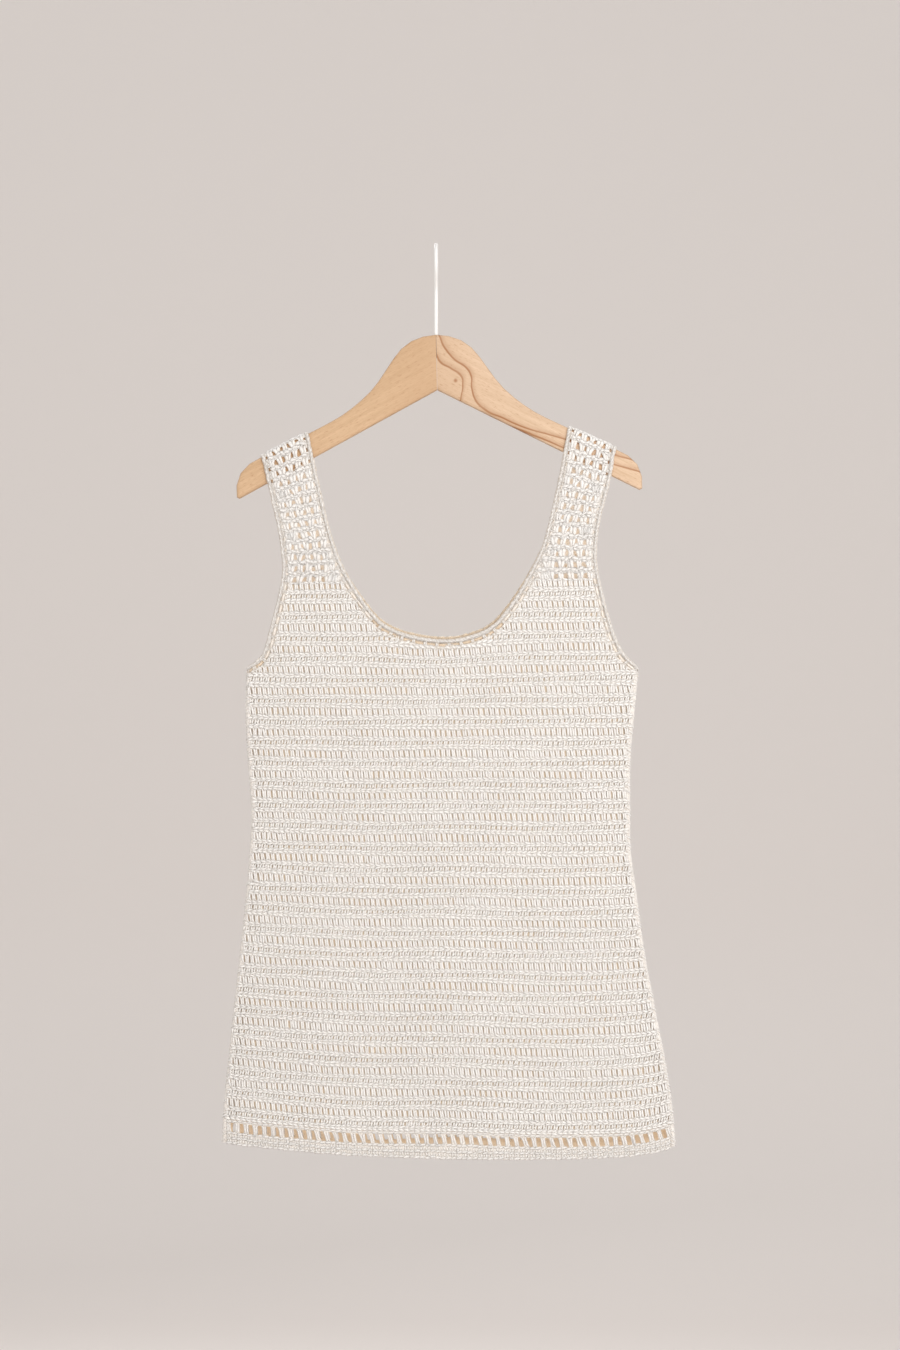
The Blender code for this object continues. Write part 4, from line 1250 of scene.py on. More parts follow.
def wood_material(name, slope, color, brown, lines=(), knot=None):
    """Light wood whose grain runs along the arm, with brown flecks, growth lines and a knot."""
    material, tree, shader = new_material(name)
    links = tree.links
    coords = object_places(tree)
    turned = add_node(tree, "ShaderNodeMapping", Rotation=(0.0, slope, 0.0))
    links.new(coords, turned.inputs["Vector"])
    layers = []
    for scale, detail, roughness in GRAIN_LAYERS:
        stretched = add_node(tree, "ShaderNodeMapping", Scale=scale)
        links.new(turned.outputs["Vector"], stretched.inputs["Vector"])
        places = stretched.outputs["Vector"]
        layers.append(add_noise(tree, places, Scale=1.0, Detail=detail, Roughness=roughness))
    broad, fine, flecks = layers
    base = mix_colors(
        tree, ranged(tree, broad, *BROAD_RANGE), toned(color, LIGHT_WOOD), toned(color, *DARK_WOOD)
    )
    side = tree.nodes.new("ShaderNodeSeparateXYZ")
    links.new(coords, side.inputs["Vector"])
    reach = link_value(tree, "ABSOLUTE", side.outputs["X"])
    for factor, tone in (
        (ranged(tree, reach, *BY_HOOK_RANGE), toned(color, *WOOD_BY_HOOK)),
        (ranged(tree, fine, *STREAK_RANGE), toned(color, *WOOD_STREAK)),
        (ranged(tree, flecks, *FLECK_RANGE), opaque(brown)),
    ):
        base = mix_colors(tree, factor, base, tone)
    wobble = add_noise(tree, coords, Scale=32.0, Detail=1.0)
    diagonal = math.sqrt(0.5)
    along = link_value(tree, "DOT_PRODUCT", coords, (diagonal, 0.0, -diagonal), vector=True)
    across = link_value(tree, "DOT_PRODUCT", coords, (diagonal, LINE_SLANT, diagonal), vector=True)
    across = link_value(tree, "ADD", across, ranged(tree, wobble, *LINE_WOBBLE))
    strength = ranged(tree, wobble, *LINE_STRENGTH)
    for points in lines:
        factor = link_value(tree, "MULTIPLY", growth_line(tree, along, across, points), strength)
        base = mix_colors(tree, factor, base, opaque(brown))
    if knot:
        flat = link_value(tree, "MULTIPLY", coords, (1.0, 0.0, 1.0), vector=True)
        offset = link_value(tree, "SUBTRACT", flat, (knot.x * MM, 0.0, knot.y * MM), vector=True)
        away = tree.nodes.new("ShaderNodeVectorMath")
        away.operation = "LENGTH"
        links.new(offset, away.inputs[0])
        near = ranged(tree, away.outputs["Value"], *KNOT_RANGE)
        base = mix_colors(tree, near, base, opaque(brown))
    links.new(base, shader.inputs["Base Color"])
    set_inputs(shader, Roughness=0.5, Specular_IOR_Level=0.4)
    links.new(add_bump(tree, fine, Strength=0.25, Distance=0.0003), shader.inputs["Normal"])
    return material


def mottled_material(name, color, pale, dull, **noise):
    """A material of one colour, mottled between two factors of it; returns its parts and the mottle."""
    material, tree, shader = new_material(name)
    mottle = add_noise(tree, object_places(tree), **noise)
    base = mix_colors(tree, mottle, toned(color, pale), toned(color, dull))
    tree.links.new(base, shader.inputs["Base Color"])
    return material, tree, shader, mottle


def coating_material(name):
    color = bpy.context.scene.hanger_finish.coating
    material, tree, shader, mottle = mottled_material(
        name, color, PALE_COATING, DULL_COATING, Scale=160.0, Detail=2.0
    )
    tree.links.new(add_bump(tree, mottle, Strength=0.1, Distance=0.0002), shader.inputs["Normal"])
    set_inputs(shader, Roughness=0.35, Coat_Weight=0.3)
    return material


def backdrop_material(color):
    """Matt studio paper."""
    material, _, shader, _ = mottled_material("backdrop", color, 1.0, DULL_PAPER, Scale=1.3, Detail=2.0)
    set_inputs(shader, Roughness=0.9)
    return material


Cotton = namedtuple("Cotton", "body_yarn open_yarn ground strap_ground")


def cotton_materials():
    """The cotton of the stitches and of the ground under them, made once."""
    made = bpy.data.materials
    if "body_yarn" not in made:
        settings = bpy.context.scene.crochet_yarn
        color, hollow = np.array(settings.cotton), np.array(settings.hollow)
        # The open work's cotton is painted darker than the body's, the shade painted on the strap ground is
        # paler, and on both the painted glow starts at the surface
        shaded = OPEN_SHADE * color
        pale_painted_shade = hollow + STRAP_SHADE_PALENESS * (color - hollow)
        cotton_material("body_yarn", opaque(color), opaque(hollow), True, 1.0)
        cotton_material("open_yarn", opaque(shaded), opaque(hollow), True, 0.0)
        cotton_material("ground", opaque(color), opaque(hollow), False, 1.0)
        cotton_material("strap_ground", opaque(shaded), opaque(pale_painted_shade), False, 0.0)
    return Cotton(*(made[name] for name in Cotton._fields))


# ---- pieces ----


def panel_ground(face):
    """The body's plain cloth, sunk between the stitches' legs, with neck and armholes cut out."""
    levels = [(0.0, BAND_SINK)]
    for row in range(BODY_ROW_COUNT):
        for place, sink in TALL_GROUND if row % 2 == 0 else SHORT_GROUND:
            levels.append((row + place, sink))
    levels.append((BODY_ROW_COUNT, BAND_SINK))
    rows = []
    for row, sink in levels:
        left = right = 0.0
        for _ in range(SETTLING_STEPS):
            left = side_edge(LEFT, -row_height(face, left, row)) + SEAM_RADIUS + SEAM_GAP
            right = side_edge(RIGHT, -row_height(face, right, row)) - SEAM_RADIUS - SEAM_GAP
        x = np.linspace(left, right, PANEL_COLUMNS + 1)
        points = cloth_points(face, x, row_height(face, x, row), -sink)
        rows.append(points if face == FRONT else points[::-1])
    obj = ground_sheet(FACES[face] + "_panel_ground", rows)
    inset = EDGING_WIDTH + SLOT_CLEARANCE
    cut_with_outline(obj, neck_outline(face, inset))
    for side in SIDES:
        cut_with_outline(obj, armhole_outline(side, inset))
    mark_painted_shade(obj, face)
    return obj


def mark_painted_shade(obj, face):
    """Marks each point of the body's ground by how deep it lies, which sets the shade painted on it."""
    points = np.empty(3 * len(obj.data.vertices), np.float32)
    obj.data.vertices.foreach_get("co", points)
    x, y, z = points.reshape(-1, 3).T / MM
    depth = cloth_depth(face, x, -z) - face * y
    hollows = np.clip((depth - BAND_SINK) / (SLIT_SINK - BAND_SINK), 0, 1)
    note_shade_marks(obj, np.where(depth > SLIT_SINK + SLIT_MARGIN, INSIDE, hollows))


def tightness(face, x, row, rng):
    """How tightly the stitches of a row are pulled at places along it, about -1 to 1."""
    broad = rippled(PULL_WAVE, x, row, 2 * face) * rippled(SLOW_PULL_WAVE, x, row)
    return PULL_BROAD * broad + PULL_CHANCE * rng.normal(0, 1, x.shape)


def panel_stitches(face, first_row, last_row, name, material, rng):
    """Rows of tall and short stitches by turns, from one row to another."""
    yarn = YarnMesh(BODY_TONE)
    edges = []
    for limit in (EDGING_WIDTH + SLOT_CLEARANCE + EDGE_CLEARANCE, EDGING_WIDTH + SLOT_CLEARANCE):
        edges.append([neck_outline(face, limit), *(armhole_outline(side, limit) for side in SIDES)])
    for row in range(first_row, last_row):
        drop = -row_height(face, 0.0, row + 0.5)
        left = side_edge(LEFT, drop) + SEAM_RADIUS
        right = side_edge(RIGHT, drop) - SEAM_RADIUS
        count = 2 * round((right - left) / (2 * stitch_pitch()))
        pitch = (right - left) / count
        tall = row % 2 == 0
        shift = STITCH_SHIFT if tall else -STITCH_SHIFT
        centres = left + pitch * (np.arange(-1, count + 1) + 0.5 + shift)
        strands = TALL_STITCH if tall else SHORT_STITCH
        if row == 0:
            strands = strands + (FIRST_CHAIN,)
        lean = TALL_LEAN if tall else SHORT_LEAN
        for strand in strands:
            shape, local = yarn.strands(strand, len(centres), rng)
            if strand in LEGS:
                local[..., 0] *= 1 + LEG_PULL * tightness(face, centres, row, rng)[:, None]
            across = local[..., 0] + lean * (local[..., 1] - ROW_MIDDLE)
            x = centres[:, None] + across * pitch / STITCH_WIDTH
            z = row_height(face, x, row + local[..., 1] / STITCH_ROW)
            if row == BODY_ROW_COUNT - 1:
                z = np.maximum(z, border_heights(face, x)[0] - SEAM_GAP)
            kept = (x.min(axis=1) > left - SEAM_LAP) & (x.max(axis=1) < right + SEAM_LAP)
            past = np.maximum(np.maximum(left - SEAM_LIP - x, x - right - SEAM_LIP), 0)
            out = local[..., 2] - past * past / (2 * (SEAM_RADIUS - SEAM_LIP))
            if row < EDGE_ROWS:
                for outline in edges[0]:
                    kept &= ~inside(outline, x.mean(axis=1), z.mean(axis=1))
                for outline in edges[1]:
                    out = out - EDGE_SINK * inside(outline, x, z)
            points = cloth_points(face, x, z, out)
            yarn.add(points[kept], shape, out[kept])
    return yarn.build(name, material)


def strap_places(width):
    """Distances across the strap of its posts' and gaps' edges."""
    nominal = STRAP_GAPS * STRAP_GAP_WIDTH + (STRAP_GAPS + 1) * STRAP_POST
    scale = 1 + STRAP_WIDENING * np.maximum(width / nominal - 1, 0.0)
    places = [np.zeros_like(width)]
    for _ in range(STRAP_GAPS):
        places.append(places[-1] + STRAP_POST * scale)
        places.append(places[-1] + STRAP_GAP_WIDTH * scale)
    places.append(width)
    return places


def strap_rows(band, face):
    """The row height, and how far below the arm's middle each row's gaps start.

    The back's rows stand half a row below the front's, so that its bars are behind the front's gaps.
    """
    height = (band.length / 2 - FIRST_GAP) / (STRAP_GAP_ROWS - 1 + STRAP_GAP_SHARE)
    tops = FIRST_GAP + height * np.arange(STRAP_GAP_ROWS)
    if face == BACK:
        tops = tops[:-1] + height / 2 - STRAP_PARALLAX
    return height, tops


def strap_ground(side, band):
    """The strap's plain cloth with its gaps left open, grown inwards."""
    edges = []
    for face in (FRONT, BACK):
        height, tops = strap_rows(band, face)
        first = 0.0 if face == FRONT else CAP_STEP
        down = [(drop, -1) for drop in np.arange(first, tops[0] - CAP_CLEARANCE, CAP_STEP)]
        for row, top in enumerate(tops):
            top_row, foot_row = (row, -1) if face == BACK else (-1, row)
            down += [(top, top_row), (top + STRAP_GAP_SHARE * height, foot_row)]
        if face == BACK:
            down.append((band.length / 2, -1))
        else:
            down.reverse()
        edges += [(band.length / 2 + face * drop, row) for drop, row in down]
    places = np.array([place for place, _ in edges])
    sink = np.full(len(places), -GROUND_SINK)
    columns = strap_places(band.width_at(places))
    grid = [band.points(*uneven(band, places, column), sink) for column in columns]
    rows = []
    skipped = set()
    for r, (place, gap_row) in enumerate(edges):
        points = [column[r] for column in grid]
        rows.append(points if side == RIGHT else points[::-1])
        for c in range(STRAP_GAPS):
            if gap_row >= 0 and (gap_row, c) not in STRAP_CLOSED_MESHES:
                skipped.add((r, 2 * c + 1 if side == RIGHT else 2 * (STRAP_GAPS - c) - 1))
    return ground_sheet(f"strap_{SIDES[side]}_ground", rows, skipped)


def post_centres(width):
    """Where pairs of legs stand across the strap, two pairs on a wide post."""
    posts = strap_places(np.array([width]))
    centres = []
    for k in range(STRAP_GAPS + 1):
        first, last = float(posts[2 * k][0]), float(posts[2 * k + 1][0])
        pairs = max(round((last - first) / PAIR_WIDTH), 1)
        centres += [first + (last - first) * (i + 0.5) / pairs for i in range(pairs)]
    return np.array(centres)


def add_on_band(yarn, band, strand, start, direction, inward, rng, unevenness, sides=TUBE_SIDES):
    """Adds a strand at distances in from the band's near edge; its rows run from start in the direction."""
    shape, local = yarn.strands(strand, len(inward), rng, unevenness, sides)
    place = np.clip(start + direction * local[..., 1], -END_REACH, band.length + END_REACH)
    across = inward[:, None] + local[..., 0]
    across = np.clip(across, -SIDE_REACH, band.width_at(place) + SIDE_REACH)
    place, across = uneven(band, place, across)
    yarn.add(band.points(place, across, local[..., 2]), shape, local[..., 2])


def build_strap(side, cotton, rng):
    band = strap_bands(side)
    half = band.length / 2
    ground = strap_ground(side, band)
    yarn = YarnMesh(OPEN_TONE)
    for face in (FRONT, BACK):
        height, tops = strap_rows(band, face)
        bar = (1 - STRAP_GAP_SHARE) * height
        rows = [(top - bar, height / STRAP_ROW_HEIGHT, row) for row, top in enumerate(tops)]
        if face == BACK:
            rows.insert(0, (PART_ROW_START, PART_ROW_SCALE, -1))
            rows.append((tops[-1] + height - bar, PART_ROW_SCALE, -1))
        for start, scale, row in rows:
            width = float(band.width_at(half + face * (start + ROW_MIDDLE)))
            loop_centres = spaced(width, max(round(width / LOOP_PITCH), LEAST_LOOPS))
            legs = loop_centres if row < 0 else post_centres(width)
            for mesh_row, column in STRAP_CLOSED_MESHES:
                if mesh_row == row:
                    posts = strap_places(np.array([width]))
                    middle = float(posts[2 * column + 1][0] + posts[2 * column + 2][0]) / 2
                    legs = np.append(legs, (middle - CLOSED_LEG, middle + CLOSED_LEG))
            place = (half + face * start, face * scale)
            for strand in (MESH_LEG, mirrored(MESH_LEG)):
                add_on_band(yarn, band, strand, *place, legs, rng, LEG_UNEVENNESS, LEG_SIDES)
            for strand in (MESH_LOOP, MESH_UNDER_LOOP):
                add_on_band(yarn, band, strand, *place, loop_centres, rng, LOOP_UNEVENNESS)
    width = float(band.width_at(half))
    tops = spaced(width, round(width / LOOP_PITCH))
    add_on_band(yarn, band, OVER_TOP, half, 1, tops, rng, LOOP_UNEVENNESS)
    stitches = yarn.build(f"strap_{SIDES[side]}_stitches", cotton.open_yarn)
    nodes = [f"strap_front_{SIDES[side]}", f"strap_back_{SIDES[side]}"]
    finish_ground(ground, cotton.strap_ground, nodes)


def edging_yarn(band, name, material, arm_places, rng):
    """A rim of slip stitches, posts with slots between them, and a row that holds the panel's edge.

    arm_places are where the edging crosses the hanger's arms.
    """
    yarn = YarnMesh(OPEN_TONE)

    def lay(strand, centres, unevenness=1.0, sink=0.0, shade_and_glow=1.0):
        shape, local = yarn.strands(strand, len(centres), rng, unevenness)
        place = (centres[:, None] + local[..., 0]) % band.length
        out = local[..., 2] - np.broadcast_to(sink, centres.shape)[:, None]
        yarn.add(band.points(place, local[..., 1], out), shape, shade_and_glow * out)

    centres = spaced(band.length, round(band.length / ROPE_PITCH))
    # The rim's and the foot's strands take more painted shade and glow on their sides, and the loop under the
    # rim less, as the depths that set them are scaled
    lay(RIM_LOOP, centres, RIM_UNEVENNESS, shade_and_glow=RIM_SHADE_AND_GLOW)
    lay(RIM_UNDER_LOOP, centres, RIM_UNEVENNESS, shade_and_glow=UNDER_RIM_SHADE_AND_GLOW)
    lay(FOOT_LOOP, centres, RIM_UNEVENNESS, shade_and_glow=RIM_SHADE_AND_GLOW)
    centres = spaced(band.length, round(band.length / SLOT_PITCH))
    beside = centres[-band.at(band.near, centres)[:, 2] < STRAP_BASE_DROP]
    for places in (centres, beside - STRAP_POST_SIDES, beside + STRAP_POST_SIDES):
        lay(SLOT_LEG, places)
        lay(mirrored(SLOT_LEG), places)
    # Off the arms a strand behind each slot shows painted shade in it, sunk deeper, for the full painted
    # shade and glow, where the slots stand open
    off_arm = np.min([np.abs(centres - place) for place in arm_places], axis=0) > OVER_ARM
    middles = (centres + SLOT_PITCH / 2)[off_arm]
    drops = -band.at(band.near, middles)[:, 2]
    lay(SLOT_SHADE_STRAND, middles, sink=OPEN_SLOT_SINK * (drops > OPEN_SLOTS_BELOW[name]))
    obj = yarn.build(name + "_yarn", material)
    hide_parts(name)
    return obj


def seam_section():
    """The side seam's section from the front lip round to the back.

    Gives the share of the way round, the reach out of the body, the depth, and the way out.
    """
    angles = np.radians(np.linspace(-90, 90, SEAM_BENDS))
    roundness = SEAM_RADIUS - SEAM_LIP
    outs = np.concatenate([[0.0], SEAM_LIP + roundness * np.cos(angles), [0.0]])
    depths = np.concatenate([[-SEAM_RADIUS], SEAM_RADIUS * np.sin(angles), [SEAM_RADIUS]])
    normal_x = np.concatenate([[0.0], np.cos(angles), [0.0]])
    normal_y = np.concatenate([[-1.0], np.sin(angles), [1.0]])
    steps = np.hypot(np.diff(outs), np.diff(depths))
    shares = np.concatenate([[0.0], np.cumsum(steps)]) / steps.sum()
    return shares, outs, depths, normal_x, normal_y


def seam_points(side, drop, share, out):
    """Points over the side seam at a drop and a share of the way from the front lip to the back."""
    shares, outs, depths, normal_x, normal_y = seam_section()
    reach = np.interp(share, shares, outs) + out * np.interp(share, shares, normal_x)
    y = np.interp(share, shares, depths) + out * np.interp(share, shares, normal_y)
    x = side_edge(side, drop) - side * (SEAM_RADIUS - reach)
    return np.stack([x, y, -drop], axis=-1)


def build_side_seam(side, cotton, rng):
    top = UNDERARM_DROPS[side] + EDGING_WIDTH + SEAM_GAP
    corner = side_edge(side, HEM_DROP)
    bottom = -float(max(hem_height(FRONT, corner), hem_height(BACK, corner)))
    shares = np.linspace(0, 1, SEAM_COLUMNS)
    rows = []
    for drop in np.linspace(top, bottom, SEAM_ROWS):
        points = seam_points(side, np.full(SEAM_COLUMNS, drop), shares, -GROUND_SINK)
        rows.append(points if side == RIGHT else points[::-1])
    ground = ground_sheet(f"side_seam_{SIDES[side]}_ground", rows)
    yarn = YarnMesh(OPEN_TONE)
    count = round((bottom - top) / SEAM_PITCH)
    drops = top + spaced(bottom - top, count)
    for first, last, lean in WRAPS:
        shares = np.linspace(first, last, WRAP_PARTS)
        wrap = [(share * WRAP_WAY, lean * (share - 0.5), WRAP_SINK, WRAP_RADIUS) for share in shares]
        shape, local = yarn.strands(wrap, count, rng, WRAP_UNEVENNESS)
        drop = np.clip(drops[:, None] + local[..., 1], top - 1, bottom)
        yarn.add(seam_points(side, drop, local[..., 0] / WRAP_WAY, local[..., 2]), shape, local[..., 2])
    stitches = yarn.build(f"side_seam_{SIDES[side]}_stitches", cotton.open_yarn)
    node = "side_seam_" + SIDES[side]
    finish_ground(ground, cotton.ground, [node])


def border_point(face, x, level, out):
    """Points of the hem border at levels: 0 to 1 is the strip, 2 the eyelets' foot and 3 the hem."""
    heights = border_heights(face, x)
    first = np.clip(level, 0, 1)
    second = np.clip(level - 1, 0, 1)
    third = np.maximum(level - 2, 0.0)
    z = heights[0] + (heights[1] - heights[0]) * first
    z = z + (heights[2] - heights[1]) * second + (heights[3] - heights[2]) * third
    return cloth_points(face, x, z, out)


def eyelet_posts(face, left, right, pitch):
    """Middles and half widths of the posts between eyelets.

    Towards the side seams the back's posts are wider and stand behind the front's eyelets.
    """
    half = (1 - EYELET_SHARE) / 2
    middles = left + pitch * (np.arange(EYELETS + 1) + half)
    halves = np.full(EYELETS + 1, half * pitch)
    if face == BACK:
        share = (middles - left) / (right - left)
        away = np.abs(share - BACK_ALIKE_MIDDLE) - BACK_ALIKE_REACH
        near = eased(np.clip(away / BACK_CHANGE, 0, 1))
        ends = np.clip(np.minimum(share, 1 - share) / BACK_END, 0, 1)
        middles = middles + 0.5 * pitch * near * ends
        halves = halves + (EYELET_SHARE - BACK_EYELET_SHARE) / 2 * pitch * near * ends
    return middles, halves


def eyelet_lean(x):
    """How far a post leans over its height, which is less near the left side seam."""
    return EYELET_LEAN * np.clip((x - LEAN_START) / LEAN_GROWTH, LEAST_LEAN, 1)


def build_hem(face, cotton, rng):
    word = FACES[face]
    drop = -float(hem_height(face, 0.0)) - HEM_MIDDLE
    left = float(side_edge(LEFT, drop)) + SEAM_RADIUS + SEAM_GAP
    right = float(side_edge(RIGHT, drop)) - SEAM_RADIUS - SEAM_GAP
    pitch = (right - left) / (EYELETS + 1 - EYELET_SHARE)
    columns = 2 * EYELETS + 1
    rows = []
    middles, halves = eyelet_posts(face, left, right, pitch)
    for level, lean in HEM_LEVELS:
        x = np.stack([middles - halves, middles + halves], axis=-1).ravel()
        x[0], x[-1] = left, right
        x[1:-1] -= lean * eyelet_lean(x[1:-1])
        points = border_point(face, x, np.full(x.shape, float(level)), -HEM_SINK)
        rows.append(points if face == FRONT else points[::-1])
    skipped = {(1, c) for c in range(1, columns, 2)}
    ground = ground_sheet(f"hem_{word}_ground", rows, skipped)
    yarn = YarnMesh(OPEN_TONE)
    for strand in (POST_LEG, mirrored(POST_LEG)):
        shape, local = yarn.strands(strand, len(middles), rng, POST_UNEVENNESS)
        level = 1 + local[..., 1] / EYELET_HEIGHT
        across = local[..., 0] * (2 * halves / (pitch * (1 - EYELET_SHARE)))[:, None]
        x = middles[:, None] + across + eyelet_lean(middles)[:, None] * (level - EYELET_MIDDLE)
        yarn.add(border_point(face, x, level, local[..., 2]), shape, local[..., 2])
    centres = left + spaced(right - left, round((right - left) / stitch_pitch()))
    for strand, level_at in HEM_LINES:
        shape, local = yarn.strands(strand, len(centres), rng)
        x = np.clip(centres[:, None] + local[..., 0], left - HEM_END_REACH, right + HEM_END_REACH)
        heights = border_heights(face, x)
        tall = np.where(level_at < 1, BORDER_TOP_STRIP, heights[2] - heights[3])
        level = level_at + local[..., 1] / tall
        yarn.add(border_point(face, x, level, local[..., 2]), shape, local[..., 2])
    stitches = yarn.build(f"hem_{word}_stitches", cotton.open_yarn)
    finish_ground(ground, cotton.ground, ["hem_" + word])


def smooth_copy(node, material):
    """A merged, smooth-shaded copy of a hard piece of the model, which replaces it."""
    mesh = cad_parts[node].data.copy()
    obj = add_object(node + "_finished", mesh)
    select_alone(obj)
    bpy.ops.object.mode_set(mode="EDIT")
    bpy.ops.mesh.select_all(action="SELECT")
    bpy.ops.mesh.remove_doubles(threshold=MERGE_DISTANCE)
    bpy.ops.object.mode_set(mode="OBJECT")
    bpy.ops.mesh.customdata_custom_splitnormals_clear()
    bpy.ops.object.shade_smooth_by_angle(angle=SMOOTH_ANGLE)
    mesh.materials.clear()
    mesh.materials.append(material)
    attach(obj, "root")
    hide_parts(node)
    return obj


# ---- operators ----


def fresh_draws(scene, step):
    """Random numbers of one group of pieces."""
    return np.random.default_rng(scene.crochet_yarn.seed + step)


class CROCHET_OT_panels(bpy.types.Operator):
    """Lays the ground of the front and back and works all their rows of stitches"""

    bl_idname = "crochet.panels"
    bl_label = "Crochet the panels"

    def execute(self, context):
        cotton = cotton_materials()
        for face, word in FACES.items():
            rng = fresh_draws(context.scene, face)
            ground = panel_ground(face)
            for part, (first, last) in PANEL_PARTS.items():
                name = f"{word}_panel_{part}_stitches"
                piece = panel_stitches(face, first, last, name, cotton.body_yarn, rng)
            node = [word + "_panel"]
            finish_ground(
                ground, cotton.ground, node
            )
        return {"FINISHED"}


class CROCHET_OT_straps(bpy.types.Operator):
    """Works the openwork straps over the hanger's arms"""

    bl_idname = "crochet.straps"
    bl_label = "Crochet the straps"

    def execute(self, context):
        rng = fresh_draws(context.scene, STRAP_DRAWS)
        for side in SIDES:
            build_strap(side, cotton_materials(), rng)
        return {"FINISHED"}


class CROCHET_OT_edgings(bpy.types.Operator):
    """Works the slotted edging round the neck and the armholes"""

    bl_idname = "crochet.edgings"
    bl_label = "Crochet the edgings"

    def execute(self, context):
        rng = fresh_draws(context.scene, EDGING_DRAWS)
        yarn = cotton_materials().open_yarn
        neck = neck_band()
        edging_yarn(neck, "neck_edging", yarn, (0.0, neck.length / 2, neck.length), rng)
        for side, word in SIDES.items():
            armhole = armhole_band(side)
            edging_yarn(armhole, "armhole_edging_" + word, yarn, (0.0, armhole.length), rng)
        return {"FINISHED"}


class CROCHET_OT_hems(bpy.types.Operator):
    """Works the hem borders with their eyelets"""

    bl_idname = "crochet.hems"
    bl_label = "Crochet the hem"

    def execute(self, context):
        rng = fresh_draws(context.scene, HEM_DRAWS)
        for face in FACES:
            build_hem(face, cotton_materials(), rng)
        return {"FINISHED"}


class CROCHET_OT_seams(bpy.types.Operator):
    """Wraps the side seams in yarn"""

    bl_idname = "crochet.seams"
    bl_label = "Wrap the side seams"

    def execute(self, context):
        rng = fresh_draws(context.scene, SEAM_DRAWS)
        for side in SIDES:
            build_side_seam(side, cotton_materials(), rng)
        return {"FINISHED"}


class CROCHET_OT_hanger(bpy.types.Operator):
    """Gives the hanger its grained wood and the hook its coating"""

    bl_idname = "crochet.hanger"
    bl_label = "Finish the hanger"

    def execute(self, context):
        finish = context.scene.hanger_finish
        left = wood_material("wood_left", LEFT_GRAIN_SLOPE, finish.left_wood, finish.grain)
        right = wood_material(
            "wood_right", RIGHT_GRAIN_SLOPE, finish.right_wood, finish.grain, RIGHT_ARM_LINES, RIGHT_ARM_KNOT
        )
        smooth_copy("hanger_arm_left", left)
        smooth_copy("hanger_arm_right", right)
        smooth_copy("hook", coating_material("wire_coating"))
        return {"FINISHED"}


class CROCHET_OT_stage(bpy.types.Operator):
    """Sets the pale backdrop, the soft lights and the camera"""

    bl_idname = "crochet.stage"
    bl_label = "Set the stage"

    def execute(self, context):
        build_stage()
        return {"FINISHED"}


def area_light(name, light, power):
    """A soft square light that the camera doesn't see."""
    lamp = bpy.data.lights.new(name, "AREA")
    lamp.shape = "SQUARE"
    lamp.size = light.size
    lamp.energy = power
    lamp.color = light.color
    obj = add_object(name, lamp)
    obj.location = light.place
    obj.rotation_euler = (Vector(light.aim) - Vector(light.place)).to_track_quat("-Z", "Y").to_euler()
    obj.visible_camera = False


def build_backdrop(color):
    """A floor that bends up into a wall."""
    bpy.ops.object.select_all(action="DESELECT")
    bpy.ops.mesh.primitive_plane_add(size=STAGE_SIZE, location=(0, WALL_Y - STAGE_SIZE / 2, FLOOR_Z))
    obj = bpy.context.active_object
    obj.name = obj.data.name = "backdrop"
    bpy.ops.object.transform_apply(location=True, rotation=False, scale=False)
    select_edges(obj, lambda ends: all(end.y > WALL_Y - NEARBY for end in ends))
    bpy.ops.object.mode_set(mode="EDIT")
    bpy.ops.mesh.extrude_region_move(TRANSFORM_OT_translate={"value": (0, 0, WALL_HEIGHT)})
    bpy.ops.object.mode_set(mode="OBJECT")
    select_edges(
        obj, lambda ends: all(end.y > WALL_Y - NEARBY and end.z < FLOOR_Z + NEARBY for end in ends)
    )
    bpy.ops.object.mode_set(mode="EDIT")
    bpy.ops.mesh.bevel(offset=SWEEP_BEND, segments=SWEEP_PARTS, affect="EDGES")
    bpy.ops.mesh.select_all(action="SELECT")
    bpy.ops.mesh.normals_make_consistent(inside=False)
    bpy.ops.object.mode_set(mode="OBJECT")
    bpy.ops.object.shade_smooth()
    obj.data.materials.append(backdrop_material(color))


def select_edges(obj, chosen):
    """Selects only the edges whose two ends the test picks."""
    bpy.ops.object.mode_set(mode="EDIT")
    bpy.ops.mesh.select_mode(type="EDGE")
    bpy.ops.mesh.select_all(action="DESELECT")
    bpy.ops.object.mode_set(mode="OBJECT")
    for edge in obj.data.edges:
        edge.select = chosen([obj.data.vertices[i].co for i in edge.vertices])


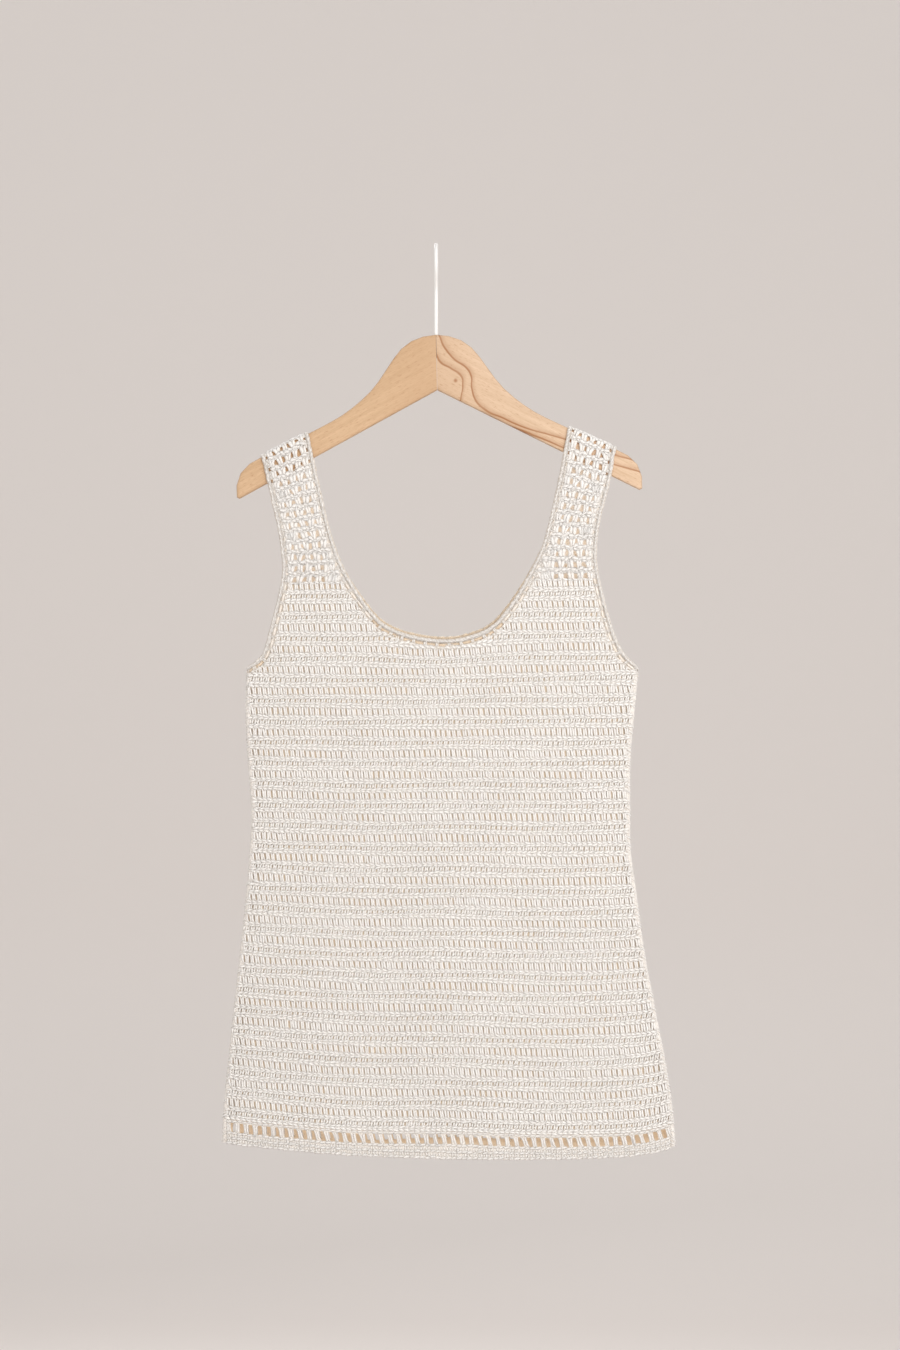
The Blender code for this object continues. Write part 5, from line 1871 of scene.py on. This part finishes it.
def build_stage():
    studio = bpy.context.scene.studio
    build_backdrop(studio.backdrop)
    for name, light in LIGHTS.items():
        area_light(name, light, getattr(studio, name + "_power"))
    world = bpy.data.worlds.new("studio")
    world.use_nodes = True
    set_inputs(world.node_tree.nodes["Background"], Color=SURROUND_COLOR, Strength=studio.surround)
    bpy.context.scene.world = world
    distance = VIEW_HEIGHT * studio.focal_length / SENSOR
    bpy.ops.object.camera_add(location=(VIEW_X, -distance, VIEW_Z), rotation=(math.pi / 2, 0, 0))
    camera = bpy.context.active_object
    camera.name = "camera"
    camera.data.lens = studio.focal_length
    camera.data.sensor_width = SENSOR
    bpy.context.scene.camera = camera
    bpy.context.scene.view_settings.view_transform = "Standard"


class CROCHET_PT_panel(bpy.types.Panel):
    bl_label = "Crochet dress"
    bl_idname = "CROCHET_PT_panel"
    bl_space_type = "VIEW_3D"
    bl_region_type = "UI"
    bl_category = "Crochet"

    def draw(self, context):
        for name, group in SETTINGS.items():
            for setting in group.__annotations__:
                self.layout.prop(getattr(context.scene, name), setting)
        for operator in OPERATORS:
            self.layout.operator(operator.bl_idname)


OPERATORS = (
    CROCHET_OT_panels,
    CROCHET_OT_straps,
    CROCHET_OT_edgings,
    CROCHET_OT_hems,
    CROCHET_OT_seams,
    CROCHET_OT_hanger,
    CROCHET_OT_stage,
)
SETTINGS = {
    "crochet_yarn": CrochetYarnSettings,
    "hanger_finish": HangerFinishSettings,
    "studio": StudioSettings,
}
CLASSES = (*SETTINGS.values(), *OPERATORS, CROCHET_PT_panel)


def register():
    for cls in CLASSES:
        bpy.utils.register_class(cls)
    for name, group in SETTINGS.items():
        setattr(bpy.types.Scene, name, bpy.props.PointerProperty(type=group))


def unregister():
    for name in SETTINGS:
        delattr(bpy.types.Scene, name)
    for cls in reversed(CLASSES):
        bpy.utils.unregister_class(cls)


def main():
    register()
    bpy.ops.crochet.panels()
    bpy.ops.crochet.straps()
    bpy.ops.crochet.edgings()
    bpy.ops.crochet.hems()
    bpy.ops.crochet.seams()
    bpy.ops.crochet.hanger()
    bpy.ops.crochet.stage()


if __name__ == "__main__":
    main()
